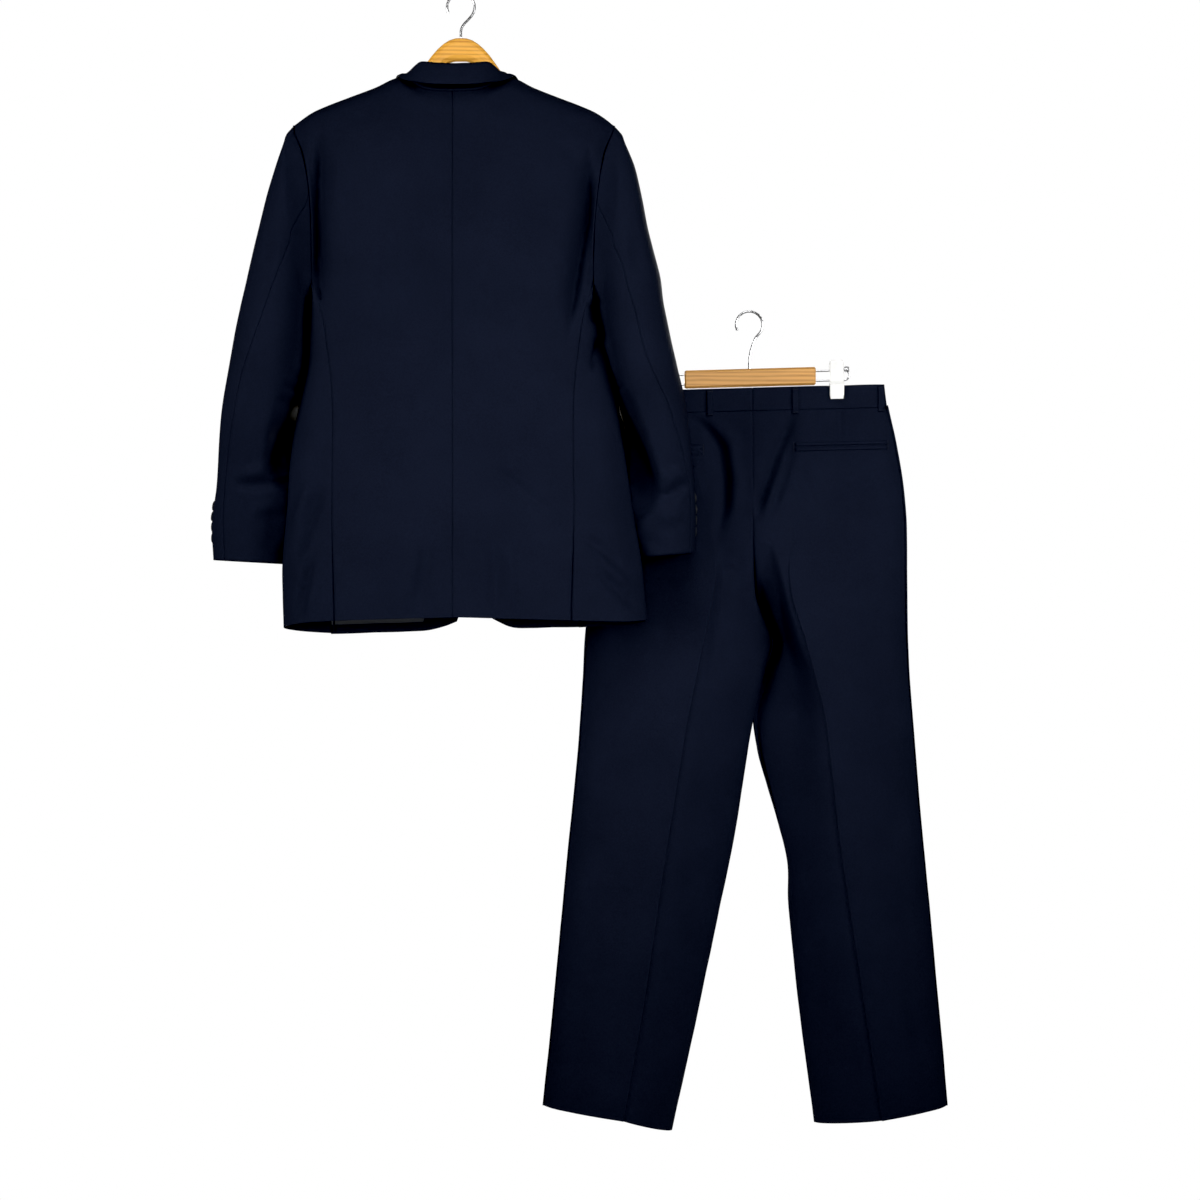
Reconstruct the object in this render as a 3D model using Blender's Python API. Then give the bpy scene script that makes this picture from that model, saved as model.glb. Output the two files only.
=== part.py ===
"""Two-piece suit: a two-button jacket on a wooden hanger, and its trousers on a clip hanger.

The jacket's hook hangs from the origin. Up is +Z, the suit's back faces -Y, and its fronts face +Y.
Sizes are in millimetres. A drop is a distance below the point that the jacket hangs from.
Across the jacket, places are measured from its centre back seam, and across the trousers from theirs.
"""
import math

import bmesh
import bpy
from mathutils import Vector
from mathutils.bvhtree import BVHTree

MM = 0.001
GAP = 0.3                   # between neighbouring pieces
ARMHOLE_GAP = 0.4           # between a sleeve and the body
CLOTH = 1.8                 # wall of a single piece of suiting
BAND = 2.4                  # wall of the waistband, with its stiffener

JACKET_X = -8.6             # the jacket hangs a little left of its hook
SHOULDER_DROP = 188         # end of the shoulder seam
SHOULDER_HALF = 229
ARMHOLE_DROP = 444          # lowest point of the armhole
ARMHOLE_TURN_DROP = 415     # where the armhole turns from the back or the front to the side
ARMHOLE_SHARE = 0.98        # armhole's distance from the centre, as a share of the half width
NECK_HALF = 78              # neck point to centre
NECK_DROP = 147             # back neck seam at the centre
CROWN = 75                  # height over which the body rounds to the shoulder line
BUTTON_DROPS = (560, 662)   # the two front buttons
FRONT_LEAN = 26             # the closed fronts' centre line lies this far right of the back's
OVERLAP = 20                # each front's edge past the fronts' centre line
UNDER_SINK = 6.0            # the right front lies this much inside the left one
ROLL_TOP_DROP = 206         # the lapel's roll line runs from here to the top button
ROLL_TOP_X = 57

TROUSERS_X = 424            # centre seam, from the jacket's hook
TROUSERS_Y = 113            # the trousers hang behind the jacket's right sleeve
WAIST_DROP = 552
WAIST_SEAM_DROP = 586
CROTCH_DROP = 922
WAIST_TILT = math.tan(math.radians(1.6))
TILT_END_DROP = 1100
CLIP_X = (-131, 125)        # where the two clips pinch the waist
PINCH = 0.62
PINCH_HALF = 22

NAVY = (0.006, 0.010, 0.020, 1)
BUTTON_BLACK = (0.008, 0.008, 0.010, 1)
WOOD = (0.78, 0.50, 0.22, 1)
STEEL = (0.62, 0.62, 0.64, 1)
WHITE = (0.88, 0.88, 0.87, 1)

RIM_ORDER = Vector((0.23, 0.31, 1))     # two pieces split the faces along their shared seam the same way


def table(columns, *rows):
    """Sizes in named columns, one row for each section."""
    return {name: [row[i] for row in rows] for i, name in enumerate(columns.split())}


def read(sizes, column, at):
    """A column's value at a place in the table's first column, on a smooth curve through its rows."""
    places = next(iter(sizes.values()))
    values = sizes[column]
    last = len(places) - 1
    if at <= places[0]:
        return values[0]
    if at >= places[last]:
        return values[last]
    i = max(k for k in range(last) if places[k] <= at)
    span = places[i + 1] - places[i]

    def slope(k):
        low, high = max(k - 1, 0), min(k + 1, last)
        return (values[high] - values[low]) / (places[high] - places[low])

    t = (at - places[i]) / span
    start, end = slope(i) * span, slope(i + 1) * span
    rise = values[i + 1] - values[i]
    return values[i] + start * t + (3 * rise - 2 * start - end) * t**2 + (start + end - 2 * rise) * t**3


def mix(a, b, share):
    return a + (b - a) * share


def ease(low, high, at):
    """0 below low, 1 above high and a smooth step between."""
    share = min(max((at - low) / (high - low), 0), 1)
    return share * share * (3 - 2 * share)


# Jacket: half widths, depths and squareness of the body's sections.
BODY = table(
    "drop left right back front square",
    (100, 235, 233, 44, 40, 3.0),
    (194, 234, 232, 47, 44, 3.6),
    (230, 220, 219, 50, 50, 4.0),
    (280, 210, 210, 54, 58, 4.2),
    (345, 206, 204, 57, 66, 4.2),
    (415, 206, 203, 58, 70, 4.0),
    (444, 205, 203, 58, 71, 3.8),
    (494, 208, 212, 56, 69, 3.4),
    (535, 211, 223, 54, 66, 3.2),
    (580, 221, 233, 52, 62, 3.0),
    (657, 234, 243, 50, 58, 2.8),
    (754, 241, 257, 51, 57, 2.7),
    (804, 246, 266, 53, 58, 2.7),
    (920, 244, 277, 56, 61, 2.7),
)
SHOULDER = table(
    "half drop",
    (0, 92), (40, 103), (78, 118), (128, 139), (176, 157), (205, 170), (219, 180), (229, 188), (236, 200),
)
SIDE_SEAM = table(
    "drop back front",
    (415, 202, 202),
    (432, 191, 194),
    (471, 184, 190),
    (538, 174, 184),
    (598, 170, 181),
    (745, 171, 182),
    (920, 168, 180),
)
HEM = table(
    "turn left right", (0, 890, 890), (50, 897, 896), (90, 905, 895), (140, 914, 905), (180, 908, 904)
)
HEM_LEVEL = 900             # the side seams' places at this drop share out the hem
FRONT_HEM_REACH = 0.72      # share of the half width at which a front's hem starts
FRONT_HEM_LIFT = 16         # the fronts' hem rises this much to the rounded corner
SIDES = {"left": -1, "right": 1}

# Largest folds of the back: three spots of each fold's line, how deep it lies and how far it reaches.
FOLD_SIZES = "x1 drop1 x2 drop2 x3 drop3 depth reach"
BACK_FOLDS = table(
    FOLD_SIZES,
    (-191, 180, -191, 320, -189, 460, 6.0, 13),     # beside the left armhole
    (195, 215, 188, 330, 170, 480, 6.0, 13),        # beside the right armhole
    (52, 672, 104, 714, 160, 762, 2.6, 17),         # from the waist to the right vent
    (60, 765, 61, 840, 64, 930, 3.4, 16),           # above the hem
    (-34, 765, -44, 840, -58, 930, 3.0, 16),
)
SEAT_FOLDS = table(
    FOLD_SIZES,
    (60, 585, 32, 668, 4, 752, 5.5, 13),            # down from the right belt loop to the seat seam
    (-100, 600, -52, 632, -46, 752, 5.5, 14),       # round the left half of the seat
)

# Sleeves: the outer and the inner edge of each ring, its depth, and where its two seams lie round it.
SLEEVES = {
    "left": table(
        "ring outer_x outer_drop inner_x inner_drop mid depth back_seam front_seam",
        (1, 244, 212, 210, 448, 0, 50, 116, 243),
        (2, 261, 265, 214, 460, 0, 58, 110, 241),
        (3, 279, 337, 216, 474, 0, 62, 100, 238),
        (4, 296, 408, 217, 497, 0, 64, 88, 235),
        (5, 309, 465, 220, 525, 0, 64, 72, 232),
        (6, 320, 522, 225, 562, 2, 62, 60, 229),
        (7, 331, 579, 230, 608, 8, 59, 50, 226),
        (8, 339, 636, 235, 653, 18, 54, 42, 223),
        (9, 344, 692, 240, 698, 30, 48, 32, 220),
        (10, 353, 747, 242, 753, 42, 40, 18, 217),
        (11, 353, 808, 243, 814, 50, 33, 12, 215),
    ),
    "right": table(
        "ring outer_x outer_drop inner_x inner_drop mid depth back_seam front_seam",
        (1, 243, 212, 207, 451, 0, 50, 116, 243),
        (2, 259, 265, 211, 462, 0, 58, 110, 241),
        (3, 273, 337, 214, 480, 0, 62, 98, 238),
        (4, 291, 408, 218, 501, 0, 64, 87, 235),
        (5, 303, 465, 224, 530, 0, 64, 82, 232),
        (6, 316, 522, 230, 565, 2, 62, 76, 229),
        (7, 328, 572, 239, 602, 8, 58, 62, 226),
        (8, 337, 636, 246, 650, 16, 53, 42, 223),
        (9, 343, 700, 251, 700, 26, 47, 22, 220),
        (10, 346, 750, 254, 750, 34, 43, 14, 217),
        (11, 344, 798, 257, 805, 40, 40, 12, 215),
    ),
}
SLEEVE_SQUARE = 2.25
HEAD_PUFF = 3.5                     # fullness of the sleeve's head
CUFF_BUTTONS = (32, 48, 64, 80)     # heights above the cuff's edge
CUFF_BUTTON_TURN = {"left": -4, "right": -16}

# Collar: neck seam, fold and outer edge, from the centre back to the gorge.
COLLAR = table(
    "station seam_x seam_y seam_drop fold_x fold_y fold_drop edge_x edge_y edge_drop",
    (0, 0, -42.4, 146.0, 0, -50, 111, 0, -58, 139.5),
    (1, 28, -40.9, 143.5, 26, -48, 109.5, 33, -57, 138.5),
    (2, 51, -35.4, 135.0, 48, -40, 106.5, 62, -47, 133),
    (3, 67, -22.4, 124.4, 61.5, -23, 110.5, 77, -28, 124),
    (4, 76.5, 0, 117, 69, 2, 110.5, 84.5, -2, 116),
    (5, 74.6, 20, 128, 69.5, 22, 118, 92, 18, 126.5),
    (6, 71.3, 34, 149, 67, 39, 138, 98, 34, 149),
    (7, 68.5, 42, 169, 65, 48, 166, 102, 44, 178),
    (8, 61.5, 46, 197, 60, 51.5, 196, 106, 50, 212),
)
COLLAR_SHIFT = 2            # the fold and the fall sit this far right of the neck seam
LAPEL = table(
    "drop width",
    (212, 58), (236, 68), (300, 82), (360, 80), (420, 74), (480, 62), (530, 40), (556, 12),
)
LAPEL_ROWS = (212, 236, 268, 300, 335, 370, 405, 440, 475, 505, 530, 550)
LAPEL_ACROSS = (0, 0.08, 0.3, 0.55, 0.8, 1)
LAPEL_INSET = 2             # from the front's edge to the lapel's roll
NOTCH = (22, 6)             # fall of the lapel's top edge to its point, and of the row below it
LAPEL_ROLL = 2.5            # how far the roll stands off its front
FLAP = {"from": 66, "to": 204, "slope": 0.04, "rows": (650, 664, 680, 694, 704), "flare": 0.25}
WELT = {"from": -106, "to": -178, "slope": 0.1, "rows": (330, 342, 354)}
FRONT_BUTTON = (10, 3)      # radius and height
CUFF_BUTTON = (7.2, 2.6)
VENT_ROWS = (750, 785, 820, 855, 884)
VENT_WIDTHS = (3, 14, 26, 38)

# Trousers: half widths of each leg, its creases and seams, and the depth of its creases and of the seat.
TROUSERS = table(
    "drop left_outer left_crease left_seam right_outer right_crease right_seam"
    " back front back_seam front_seam round",
    (552, 199, 99, 0, 196, 99, 0, 9, 9, 10, 10, 2.0),
    (586, 201, 98, 0, 200, 98, 0, 12, 12, 13, 13, 2.0),
    (629, 212, 92, 0, 210, 93, 0, 18, 17, 19, 18, 2.0),
    (688, 221, 80, 0, 221, 80, 0, 27, 24, 27, 24, 1.9),
    (747, 227, 66, 0, 227, 62, 0, 34, 29, 32, 28, 1.7),
    (815, 234, 56, -1, 227, 52, 1, 41, 35, 28, 27, 1.4),
    (866, 240, 61, -7, 227, 57, 7, 47, 41, 12, 22, 1.3),
    (922, 246, 73, -28, 228, 74, 28, 52, 46, -8, 8, 1.25),
    (984, 249, 86, -14, 231, 90, 16, 56, 50, -6, 6, 1.2),
    (1043, 253, 98, 1, 236, 104, 5, 58, 52, -3, 3, 1.2),
    (1103, 258, 108, 10, 241, 111, 14, 60, 54, 0, 0, 1.2),
    (1221, 270, 127, 28, 251, 124, 48, 62, 56, 0, 0, 1.2),
    (1240, 272, 130, 32, 253, 127, 54, 62, 56, 0, 0, 1.2),
    (1280, 276, 136, 41, 257, 133, 53, 62, 57, 0, 0, 1.2),
    (1458, 293, 162, 78, 274, 160, 70, 61, 57, 0, 0, 1.2),
    (1650, 313, 196, 120, 291, 190, 95, 60, 56, 0, 0, 1.2),
)
SEAT_SEAM = table("drop x", (552, 0), (747, 0), (815, 1), (866, 7), (894, 16), (922, 28))
LEG_HEM = {"left": (1613, 1624, 1650), "right": (1613, 1623, 1638)}    # outseam, crease and inseam

CROTCH_GAP = 0.9            # the four legs' pieces stand further apart near the crotch
CROTCH_REACH = 60
TRIM = 1.2                  # wall of the jets, the tab and the pocket edges
LOOP_DROPS = (554, 593)
LOOP_WIDTH = 9.5
LOOP_THICK = 2.0
JET_X = {"left": (74, 207), "right": (62, 199)}
JET_DROP = 642.2
JET_WIDTH = 12
JET_MOUTH = 0.12            # half of the mouth, as a share of the half width
JET_GROOVE = 0.8
TAB_X = -86                 # the left back pocket's tab
TAB_ROWS = (                # drop and half width
    (633, 8.5), (636, 8.5), (639, 8.5), (642, 8.5), (645, 8.5), (648.5, 8.5), (652, 8.5), (658, 8),
    (664, 4.5), (668, 0.8),
)
TAB_CLEAR = 0.25
POCKET_EDGE = ((158, 592), (204, 745))
POCKET_EDGE_WIDTH = 7
WAIST_TAB_X = (-4, 52)
WAIST_TAB_DROP = 569
WAIST_TAB_WIDTH = 30
LEG_BULGE = 1.6
LEG_ROWS = (586, 607, 629, 658, 688, 717, 747, 781, 815, 841, 866, 894, 922)
LEG_STEPS = 13              # rows from the crotch to the hem
LEG_CUT = 15                # row at the knee where each leg's panels are parted in two solids
LEG_ACROSS = tuple(-math.sin(math.radians(a)) for a in (90, 64, 40, 18)) + (0, 0.2, 0.4, 0.6, 0.8, 0.93, 1)

ARM_ANGLES = tuple(140 * k / 6 for k in range(7))   # round the armhole, from the shoulder to its turn
UNDERARM_STEPS = 4
BODY_ROWS = 10              # rows from the hem to the armhole's turn


def place(x, y, drop):
    """A point of the jacket."""
    return Vector(((x + JACKET_X) * MM, y * MM, -drop * MM))


def fold_depth(folds, x, drop):
    """How deep a spot lies in the folds, which run out towards both ends of their lines."""
    depth = 0.0
    for x1, drop1, x2, drop2, x3, drop3, deepest, reach in zip(*folds.values()):
        start, middle, end = Vector((x1, drop1)), Vector((x2, drop2)), Vector((x3, drop3))
        spot = Vector((x, drop))
        nearest = None
        for first, last, begun in ((start, middle, 0), (middle, end, 0.5)):
            run = last - first
            share = min(max((spot - first).dot(run) / run.length_squared, 0), 1)
            away = (spot - first - run * share).length
            if nearest is None or away < nearest[0]:
                nearest = away, begun + share / 2
        away, along = nearest
        depth += deepest * ease(0, 0.3, min(along, 1 - along)) * math.exp(-((away / reach) ** 2))
    return depth


def fold(folds, points, normals, centre_x):
    """Sinks the points of a panel into its folds, apart from its two side edges, which stay at their seams."""
    for row, directions in zip(points, normals):
        for j in range(1, len(row) - 1):
            depth = fold_depth(folds, row[j].x / MM - centre_x, -row[j].z / MM)
            row[j] = row[j] - directions[j] * depth * MM


# ------------------------------------------------------------------ solids


def paint(obj, colour, roughness, metallic=0.0):
    material = bpy.data.materials.new(obj.name)
    material.use_nodes = True
    shader = material.node_tree.nodes["Principled BSDF"]
    shader.inputs["Base Color"].default_value = colour
    shader.inputs["Roughness"].default_value = roughness
    shader.inputs["Metallic"].default_value = metallic
    obj.data.materials.append(material)


def solid(name, points, faces, colour=NAVY, roughness=0.85, metallic=0.0):
    """A closed mesh object whose faces point out."""
    mesh = bpy.data.meshes.new(name)
    mesh.from_pydata([tuple(p) for p in points], [], faces)
    mesh.validate()
    bm = bmesh.new()
    bm.from_mesh(mesh)
    if bm.calc_volume(signed=True) < 0:
        bmesh.ops.reverse_faces(bm, faces=bm.faces)
    bm.to_mesh(mesh)
    bm.free()
    obj = bpy.data.objects.new(name, mesh)
    bpy.context.collection.objects.link(obj)
    mesh.shade_smooth()
    mesh.set_sharp_from_angle(angle=math.radians(40))
    paint(obj, colour, roughness, metallic)
    return obj


def wall(name, outer, inner, **finish):
    """A piece of cloth between two grids of points, closed round its edges."""
    rows, columns = len(outer), len(outer[0])
    count = rows * columns
    points = [p for row in outer for p in row] + [p for row in inner for p in row]
    faces = []
    for i in range(rows - 1):
        for j in range(columns - 1):
            a, b = i * columns + j, i * columns + j + 1
            c, d = b + columns, a + columns
            for one, two, three in ((a, b, c), (a, c, d)):
                faces.append((one, two, three))
                faces.append((count + three, count + two, count + one))
    rim = [j for j in range(columns)]
    rim += [i * columns + columns - 1 for i in range(1, rows)]
    rim += [(rows - 1) * columns + j for j in range(columns - 2, -1, -1)]
    rim += [i * columns for i in range(rows - 2, 0, -1)]
    for a, b in zip(rim, rim[1:] + rim[:1]):
        if points[a].dot(RIM_ORDER) < points[b].dot(RIM_ORDER):
            faces += [(b, a, count + b), (a, count + a, count + b)]
        else:
            faces += [(b, a, count + a), (b, count + a, count + b)]
    return solid(name, points, faces, **finish)


def cloth(name, points, normals, thickness=CLOTH, **finish):
    """A piece of cloth whose outer face is a grid of points and whose wall lies inside it."""
    inner = [[p - n * thickness * MM for p, n in zip(*rows)] for rows in zip(points, normals)]
    return wall(name, points, inner, **finish)


def tube(name, rings, **finish):
    """A closed solid through rings of the same number of points, with flat ends."""
    size = len(rings[0])
    points = [p for ring in rings for p in ring]
    faces = [tuple(range(size)), tuple(range(len(points) - 1, len(points) - size - 1, -1))]
    for i in range(len(rings) - 1):
        for j in range(size):
            a, b = i * size + j, i * size + (j + 1) % size
            faces.append((b, a, a + size, b + size))
    return solid(name, points, faces, **finish)


def wire(name, points, radius, closed=False, **finish):
    """A bent wire of round section, with flat ends."""
    curve = bpy.data.curves.new(name, "CURVE")
    curve.dimensions = "3D"
    curve.bevel_depth = radius * MM
    curve.bevel_resolution = 2
    curve.resolution_u = 1
    curve.render_resolution_u = 0
    curve.use_fill_caps = not closed
    spline = curve.splines.new("POLY")
    spline.points.add(len(points) - 1)
    spline.use_cyclic_u = closed
    for target, point in zip(spline.points, points):
        target.co = (*point, 1)
    obj = bpy.data.objects.new(name, curve)
    bpy.context.collection.objects.link(obj)
    paint(obj, **finish)
    return obj


def surface_of(*objects):
    """What a ray meets on the outside of some pieces."""
    points, faces = [], []
    for obj in objects:
        start = len(points)
        points += [v.co.copy() for v in obj.data.vertices]
        faces += [tuple(start + i for i in face.vertices) for face in obj.data.polygons]
    return BVHTree.FromPolygons(points, faces)


def ground_height(ground, x, z, toward):
    """How far some pieces reach towards one side of Y at a spot."""
    for slip in (0, 0.8 * MM, -0.8 * MM, 2 * MM, -2 * MM):
        hit = ground.ray_cast(Vector((x + slip, toward, z)), Vector((0, -toward, 0)))[0]
        if hit is not None:
            return hit.y * toward
    return None


def laid(name, ground, spots, toward, rise=None, groove=None, thickness=CLOTH, **finish):
    """A piece that lies on others: spots is a grid of (x, z), and toward is the side of Y that it faces.

    rise lifts the whole wall, and groove thins it from outside.
    """
    rows, columns = len(spots), len(spots[0])
    heights = [[ground_height(ground, x, z, toward) for x, z in row] for row in spots]
    lifts = [[0.0] * columns for _ in range(rows)]
    for i in range(rows):
        for j in range(columns):
            for a, b in ((i + 1, j), (i, j + 1), (i + 1, j + 1)):
                if a >= rows or b >= columns:
                    continue
                for share in (0.25, 0.5, 0.75):
                    between = [mix(p, q, share) for p, q in zip(spots[i][j], spots[a][b])]
                    height = ground_height(ground, *between, toward)
                    need = height - mix(heights[i][j], heights[a][b], share)
                    lifts[i][j] = max(lifts[i][j], need)
                    lifts[a][b] = max(lifts[a][b], need)
    outer, inner = [], []
    for i, row in enumerate(spots):
        for grid in (outer, inner):
            line = []
            for j, (x, z) in enumerate(row):
                height = heights[i][j] + lifts[i][j] + (GAP + (rise(i, j) if rise else 0)) * MM
                if grid is outer:
                    height += (thickness - (groove(i, j) if groove else 0)) * MM
                line.append(Vector((x, toward * height, z)))
            grid.append(line)
    return wall(name, outer, inner, **finish)


# ------------------------------------------------------------------ jacket body


def shoulder_line(x):
    return read(SHOULDER, "drop", abs(x))


def neck_line(x):
    return mix(NECK_DROP, read(SHOULDER, "drop", NECK_HALF), (abs(x) / NECK_HALF) ** 3)


def crown(x, drop):
    """Share of the full depth that the body has this close to the shoulder line."""
    share = min(max((drop - shoulder_line(x)) / CROWN, 0), 1)
    return math.sqrt(1 - (1 - share) ** 2)


def under_sink(drop):
    """How far the right front lies inside the left one, below where their edges cross."""
    return UNDER_SINK * ease(380, 450, drop)


def body_point(side, share, face, drop):
    """A point of the body: share is its distance from the centre as a share of the half width."""
    half = read(BODY, side, drop)
    square = read(BODY, "square", drop)
    x = SIDES[side] * share * half
    depth = read(BODY, face, drop) * (1 - min(share, 1) ** square) ** (1 / square) * crown(x, drop)
    if face == "front" and side == "right":
        depth -= under_sink(drop) * (1 - ease(61, 85, x))
    return place(x, depth if face == "front" else -depth, drop)


def turn_share(side, turn, drop):
    """Share of the half width and face of a turn round the body, from 0 at the back to 180 at the front."""
    square = read(BODY, "square", drop)
    share = abs(math.sin(math.radians(turn))) ** (2 / square)
    return share, "back" if turn <= 90 else "front"


def share_turn(side, share, face, drop):
    square = read(BODY, "square", drop)
    turn = math.degrees(math.asin(min(share, 1) ** (square / 2)))
    return turn if face == "back" else 180 - turn


def turned(side, turn, drop):
    share, face = turn_share(side, turn, drop)
    return body_point(side, share, face, drop)


def body_normal(side, share, face, drop):
    """Outward direction of the body."""
    turn = share_turn(side, share, face, drop)
    along = turned(side, min(turn + 1.5, 180), drop) - turned(side, max(turn - 1.5, 0), drop)
    down = turned(side, turn, drop + 3) - turned(side, turn, drop - 3)
    return (down.cross(along) * SIDES[side]).normalized()


def seam_share(side, face, drop):
    """Share of the half width at the side seam, or at the armhole above it."""
    if drop <= ARMHOLE_TURN_DROP:
        return ARMHOLE_SHARE
    return min(read(SIDE_SEAM, face, drop) / read(BODY, side, drop), ARMHOLE_SHARE)


def armhole_drop(angle):
    """Drop of the armhole at an angle from its top."""
    half = (ARMHOLE_TURN_DROP - SHOULDER_DROP) / (1 - math.cos(math.radians(ARM_ANGLES[-1])))
    return SHOULDER_DROP + half * (1 - math.cos(math.radians(angle)))


def armhole(side):
    """Points of the armhole from the shoulder down the back, under the arm and up the front."""
    points = [body_point(side, ARMHOLE_SHARE, "back", armhole_drop(a)) for a in ARM_ANGLES]
    points += underarm(side)[1:-1]
    points += [body_point(side, ARMHOLE_SHARE, "front", armhole_drop(a)) for a in reversed(ARM_ANGLES)]
    return points


def underarm_spot(side, across):
    """Turn and drop of the armhole's bottom, from -1 at the back to 1 at the front."""
    reach = 90 - share_turn(side, ARMHOLE_SHARE, "back", ARMHOLE_TURN_DROP)
    return 90 + across * reach, mix(ARMHOLE_DROP, ARMHOLE_TURN_DROP, across * across)


def underarm(side):
    steps = [2 * k / UNDERARM_STEPS - 1 for k in range(UNDERARM_STEPS + 1)]
    return [turned(side, *underarm_spot(side, across)) for across in steps]


def armhole_normals(points):
    """Directions square to the armhole, in its own plane, away from its middle."""
    middle = sum(points, Vector()) / len(points)
    normals = []
    for k, point in enumerate(points):
        run = points[min(k + 1, len(points) - 1)] - points[max(k - 1, 0)]
        if k in (0, len(points) - 1):
            run = points[1] - points[-2]
        normal = run.cross(Vector((1, 0, 0))).normalized()
        away = point - middle
        normals.append(normal if normal.dot(away) > 0 else -normal)
    return normals


def shoulder_normal(x):
    """Upward direction square to the shoulder line."""
    run = place(x + 2, 0, shoulder_line(x + 2)) - place(x - 2, 0, shoulder_line(x - 2))
    return Vector((-run.z, 0, run.x)).normalized()


BACK_SHARES = (0, 0.17, 0.341, 0.5, 0.66, 0.8, 0.88, 0.94, 1)
FRONT_SHARES = (1, 0.9, 0.79, 0.68, 0.57, 0.4, 0.2, 0)


def front_edge(side, drop):
    """Distance of a front's edge from the jacket's centre, towards its own side."""
    middle = FRONT_LEAN * SIDES[side] * ease(430, 560, drop)
    if drop < BUTTON_DROPS[0]:
        share = (BUTTON_DROPS[0] - drop) / (BUTTON_DROPS[0] - ROLL_TOP_DROP)
        low = FRONT_LEAN * SIDES[side] - OVERLAP
        if drop >= ROLL_TOP_DROP:
            return mix(low, ROLL_TOP_X, share)
        top = read(SHOULDER, "drop", NECK_HALF)
        return mix(ROLL_TOP_X, NECK_HALF, ((ROLL_TOP_DROP - drop) / (ROLL_TOP_DROP - top)) ** 0.7)
    away = max(drop - 640, 0) / 250
    return middle - OVERLAP + 46 * away**2.2


def top_row_drop(x):
    if abs(x) < NECK_HALF:
        return neck_line(x)
    return shoulder_line(x)


def back_panel(side):
    """Half of the back, from the centre seam to the side seam and the armhole."""
    points, normals = [], []
    marks = [k / BODY_ROWS for k in range(BODY_ROWS)] + [1 + k for k in range(len(ARM_ANGLES))]
    for mark in marks:
        row, row_normals = [], []
        for share in BACK_SHARES:
            hem_turn = share * share_turn(side, seam_share(side, "back", HEM_LEVEL), "back", HEM_LEVEL)
            hem = read(HEM, side, hem_turn)
            if mark < 1:
                drop = mix(hem, ARMHOLE_TURN_DROP, mark)
            else:
                climb = (ARMHOLE_TURN_DROP - armhole_drop(ARM_ANGLES[-1 - (mark - 1)]))
                climb /= ARMHOLE_TURN_DROP - SHOULDER_DROP
                drop = mix(ARMHOLE_TURN_DROP, top_row_drop(share * SHOULDER_HALF), climb)
            across = share * seam_share(side, "back", drop)
            row.append(body_point(side, across, "back", drop))
            row_normals.append(body_normal(side, across, "back", drop))
        points.append(row)
        normals.append(row_normals)
    fold(BACK_FOLDS, points[:-1], normals[:-1], JACKET_X)
    return finish_panel(side, "back", points, normals)


def front_panel(side):
    """One front, from the side seam and the armhole to its front edge and its lapel's roll line."""
    points, normals = [], []
    marks = [k / BODY_ROWS for k in range(BODY_ROWS)] + [1 + k for k in range(len(ARM_ANGLES))]
    for mark in marks:
        row, row_normals = [], []
        for share in FRONT_SHARES:
            hem_turn = 180 - share * share_turn(side, FRONT_HEM_REACH, "back", HEM_LEVEL)
            hem = read(HEM, side, hem_turn) - FRONT_HEM_LIFT * (1 - share) ** 8
            if mark < 1:
                drop = mix(hem, ARMHOLE_TURN_DROP, mark)
            else:
                climb = (ARMHOLE_TURN_DROP - armhole_drop(ARM_ANGLES[-1 - (mark - 1)]))
                climb /= ARMHOLE_TURN_DROP - SHOULDER_DROP
                drop = mix(ARMHOLE_TURN_DROP, shoulder_line(mix(NECK_HALF, SHOULDER_HALF, share)), climb)
            half = read(BODY, side, drop)
            outer = seam_share(side, "front", drop)
            inner = front_edge(side, drop) / half
            across = mix(inner, outer, share)
            row.append(front_point(side, across, drop))
            row_normals.append(front_normal(side, across, drop))
        points.append(row)
        normals.append(row_normals)
    return finish_panel(side, "front", points, normals)


def front_point(side, across, drop):
    """A point of a front, which may lie past the centre, on the other half of the body."""
    if across >= 0:
        return body_point(side, across, "front", drop)
    half = read(BODY, side, drop)
    sink = under_sink(drop) if side == "right" else 0
    square = read(BODY, "square", drop)
    x = SIDES[side] * across * half
    depth = read(BODY, "front", drop) * (1 - abs(across) ** square) ** (1 / square) * crown(x, drop)
    return place(x, depth - sink, drop)


def front_normal(side, across, drop):
    """Outward direction of a front."""
    step = 0.02
    along = front_point(side, across + step, drop) - front_point(side, across - step, drop)
    if across + step > 1:
        along = front_point(side, 1, drop) - front_point(side, 1 - 2 * step, drop)
    down = front_point(side, across, drop + 3) - front_point(side, across, drop - 3)
    normal = along.cross(down).normalized()
    return normal if normal.y > 0 else -normal


def finish_panel(side, face, points, normals):
    """Parts a back or a front from its neighbours and gives it its wall."""
    sign = SIDES[side]
    inward = Vector((-sign, 0, 0))
    edge = len(points[0]) - 1 if face == "back" else 0
    ring = armhole(side)
    ring_normals = armhole_normals(ring)
    if face == "front":
        ring_normals = ring_normals[::-1]
    for i, row in enumerate(points):
        level = i - BODY_ROWS
        if level >= 0:
            normals[i][edge] = ring_normals[len(ARM_ANGLES) - 1 - level]
            row[edge] = row[edge] + inward * (ARMHOLE_GAP / 2 * MM)
        else:
            other = row[edge - 1] if edge else row[1]
            row[edge] = row[edge] + (other - row[edge]).normalized() * (GAP / 2 * MM)
        if face == "back":
            row[0] = row[0] + Vector((sign, 0, 0)) * (GAP / 2 * MM)
    for j, point in enumerate(points[-1]):
        x = point.x / MM - JACKET_X
        if abs(x) >= NECK_HALF - 1:
            normals[-1][j] = shoulder_normal(x)
            away = GAP / 2 * MM * (-1 if face == "back" else 1)
            points[-1][j] = point + Vector((0, away, 0))
    return cloth(f"jacket_{face}_{side}", points, normals)


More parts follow.
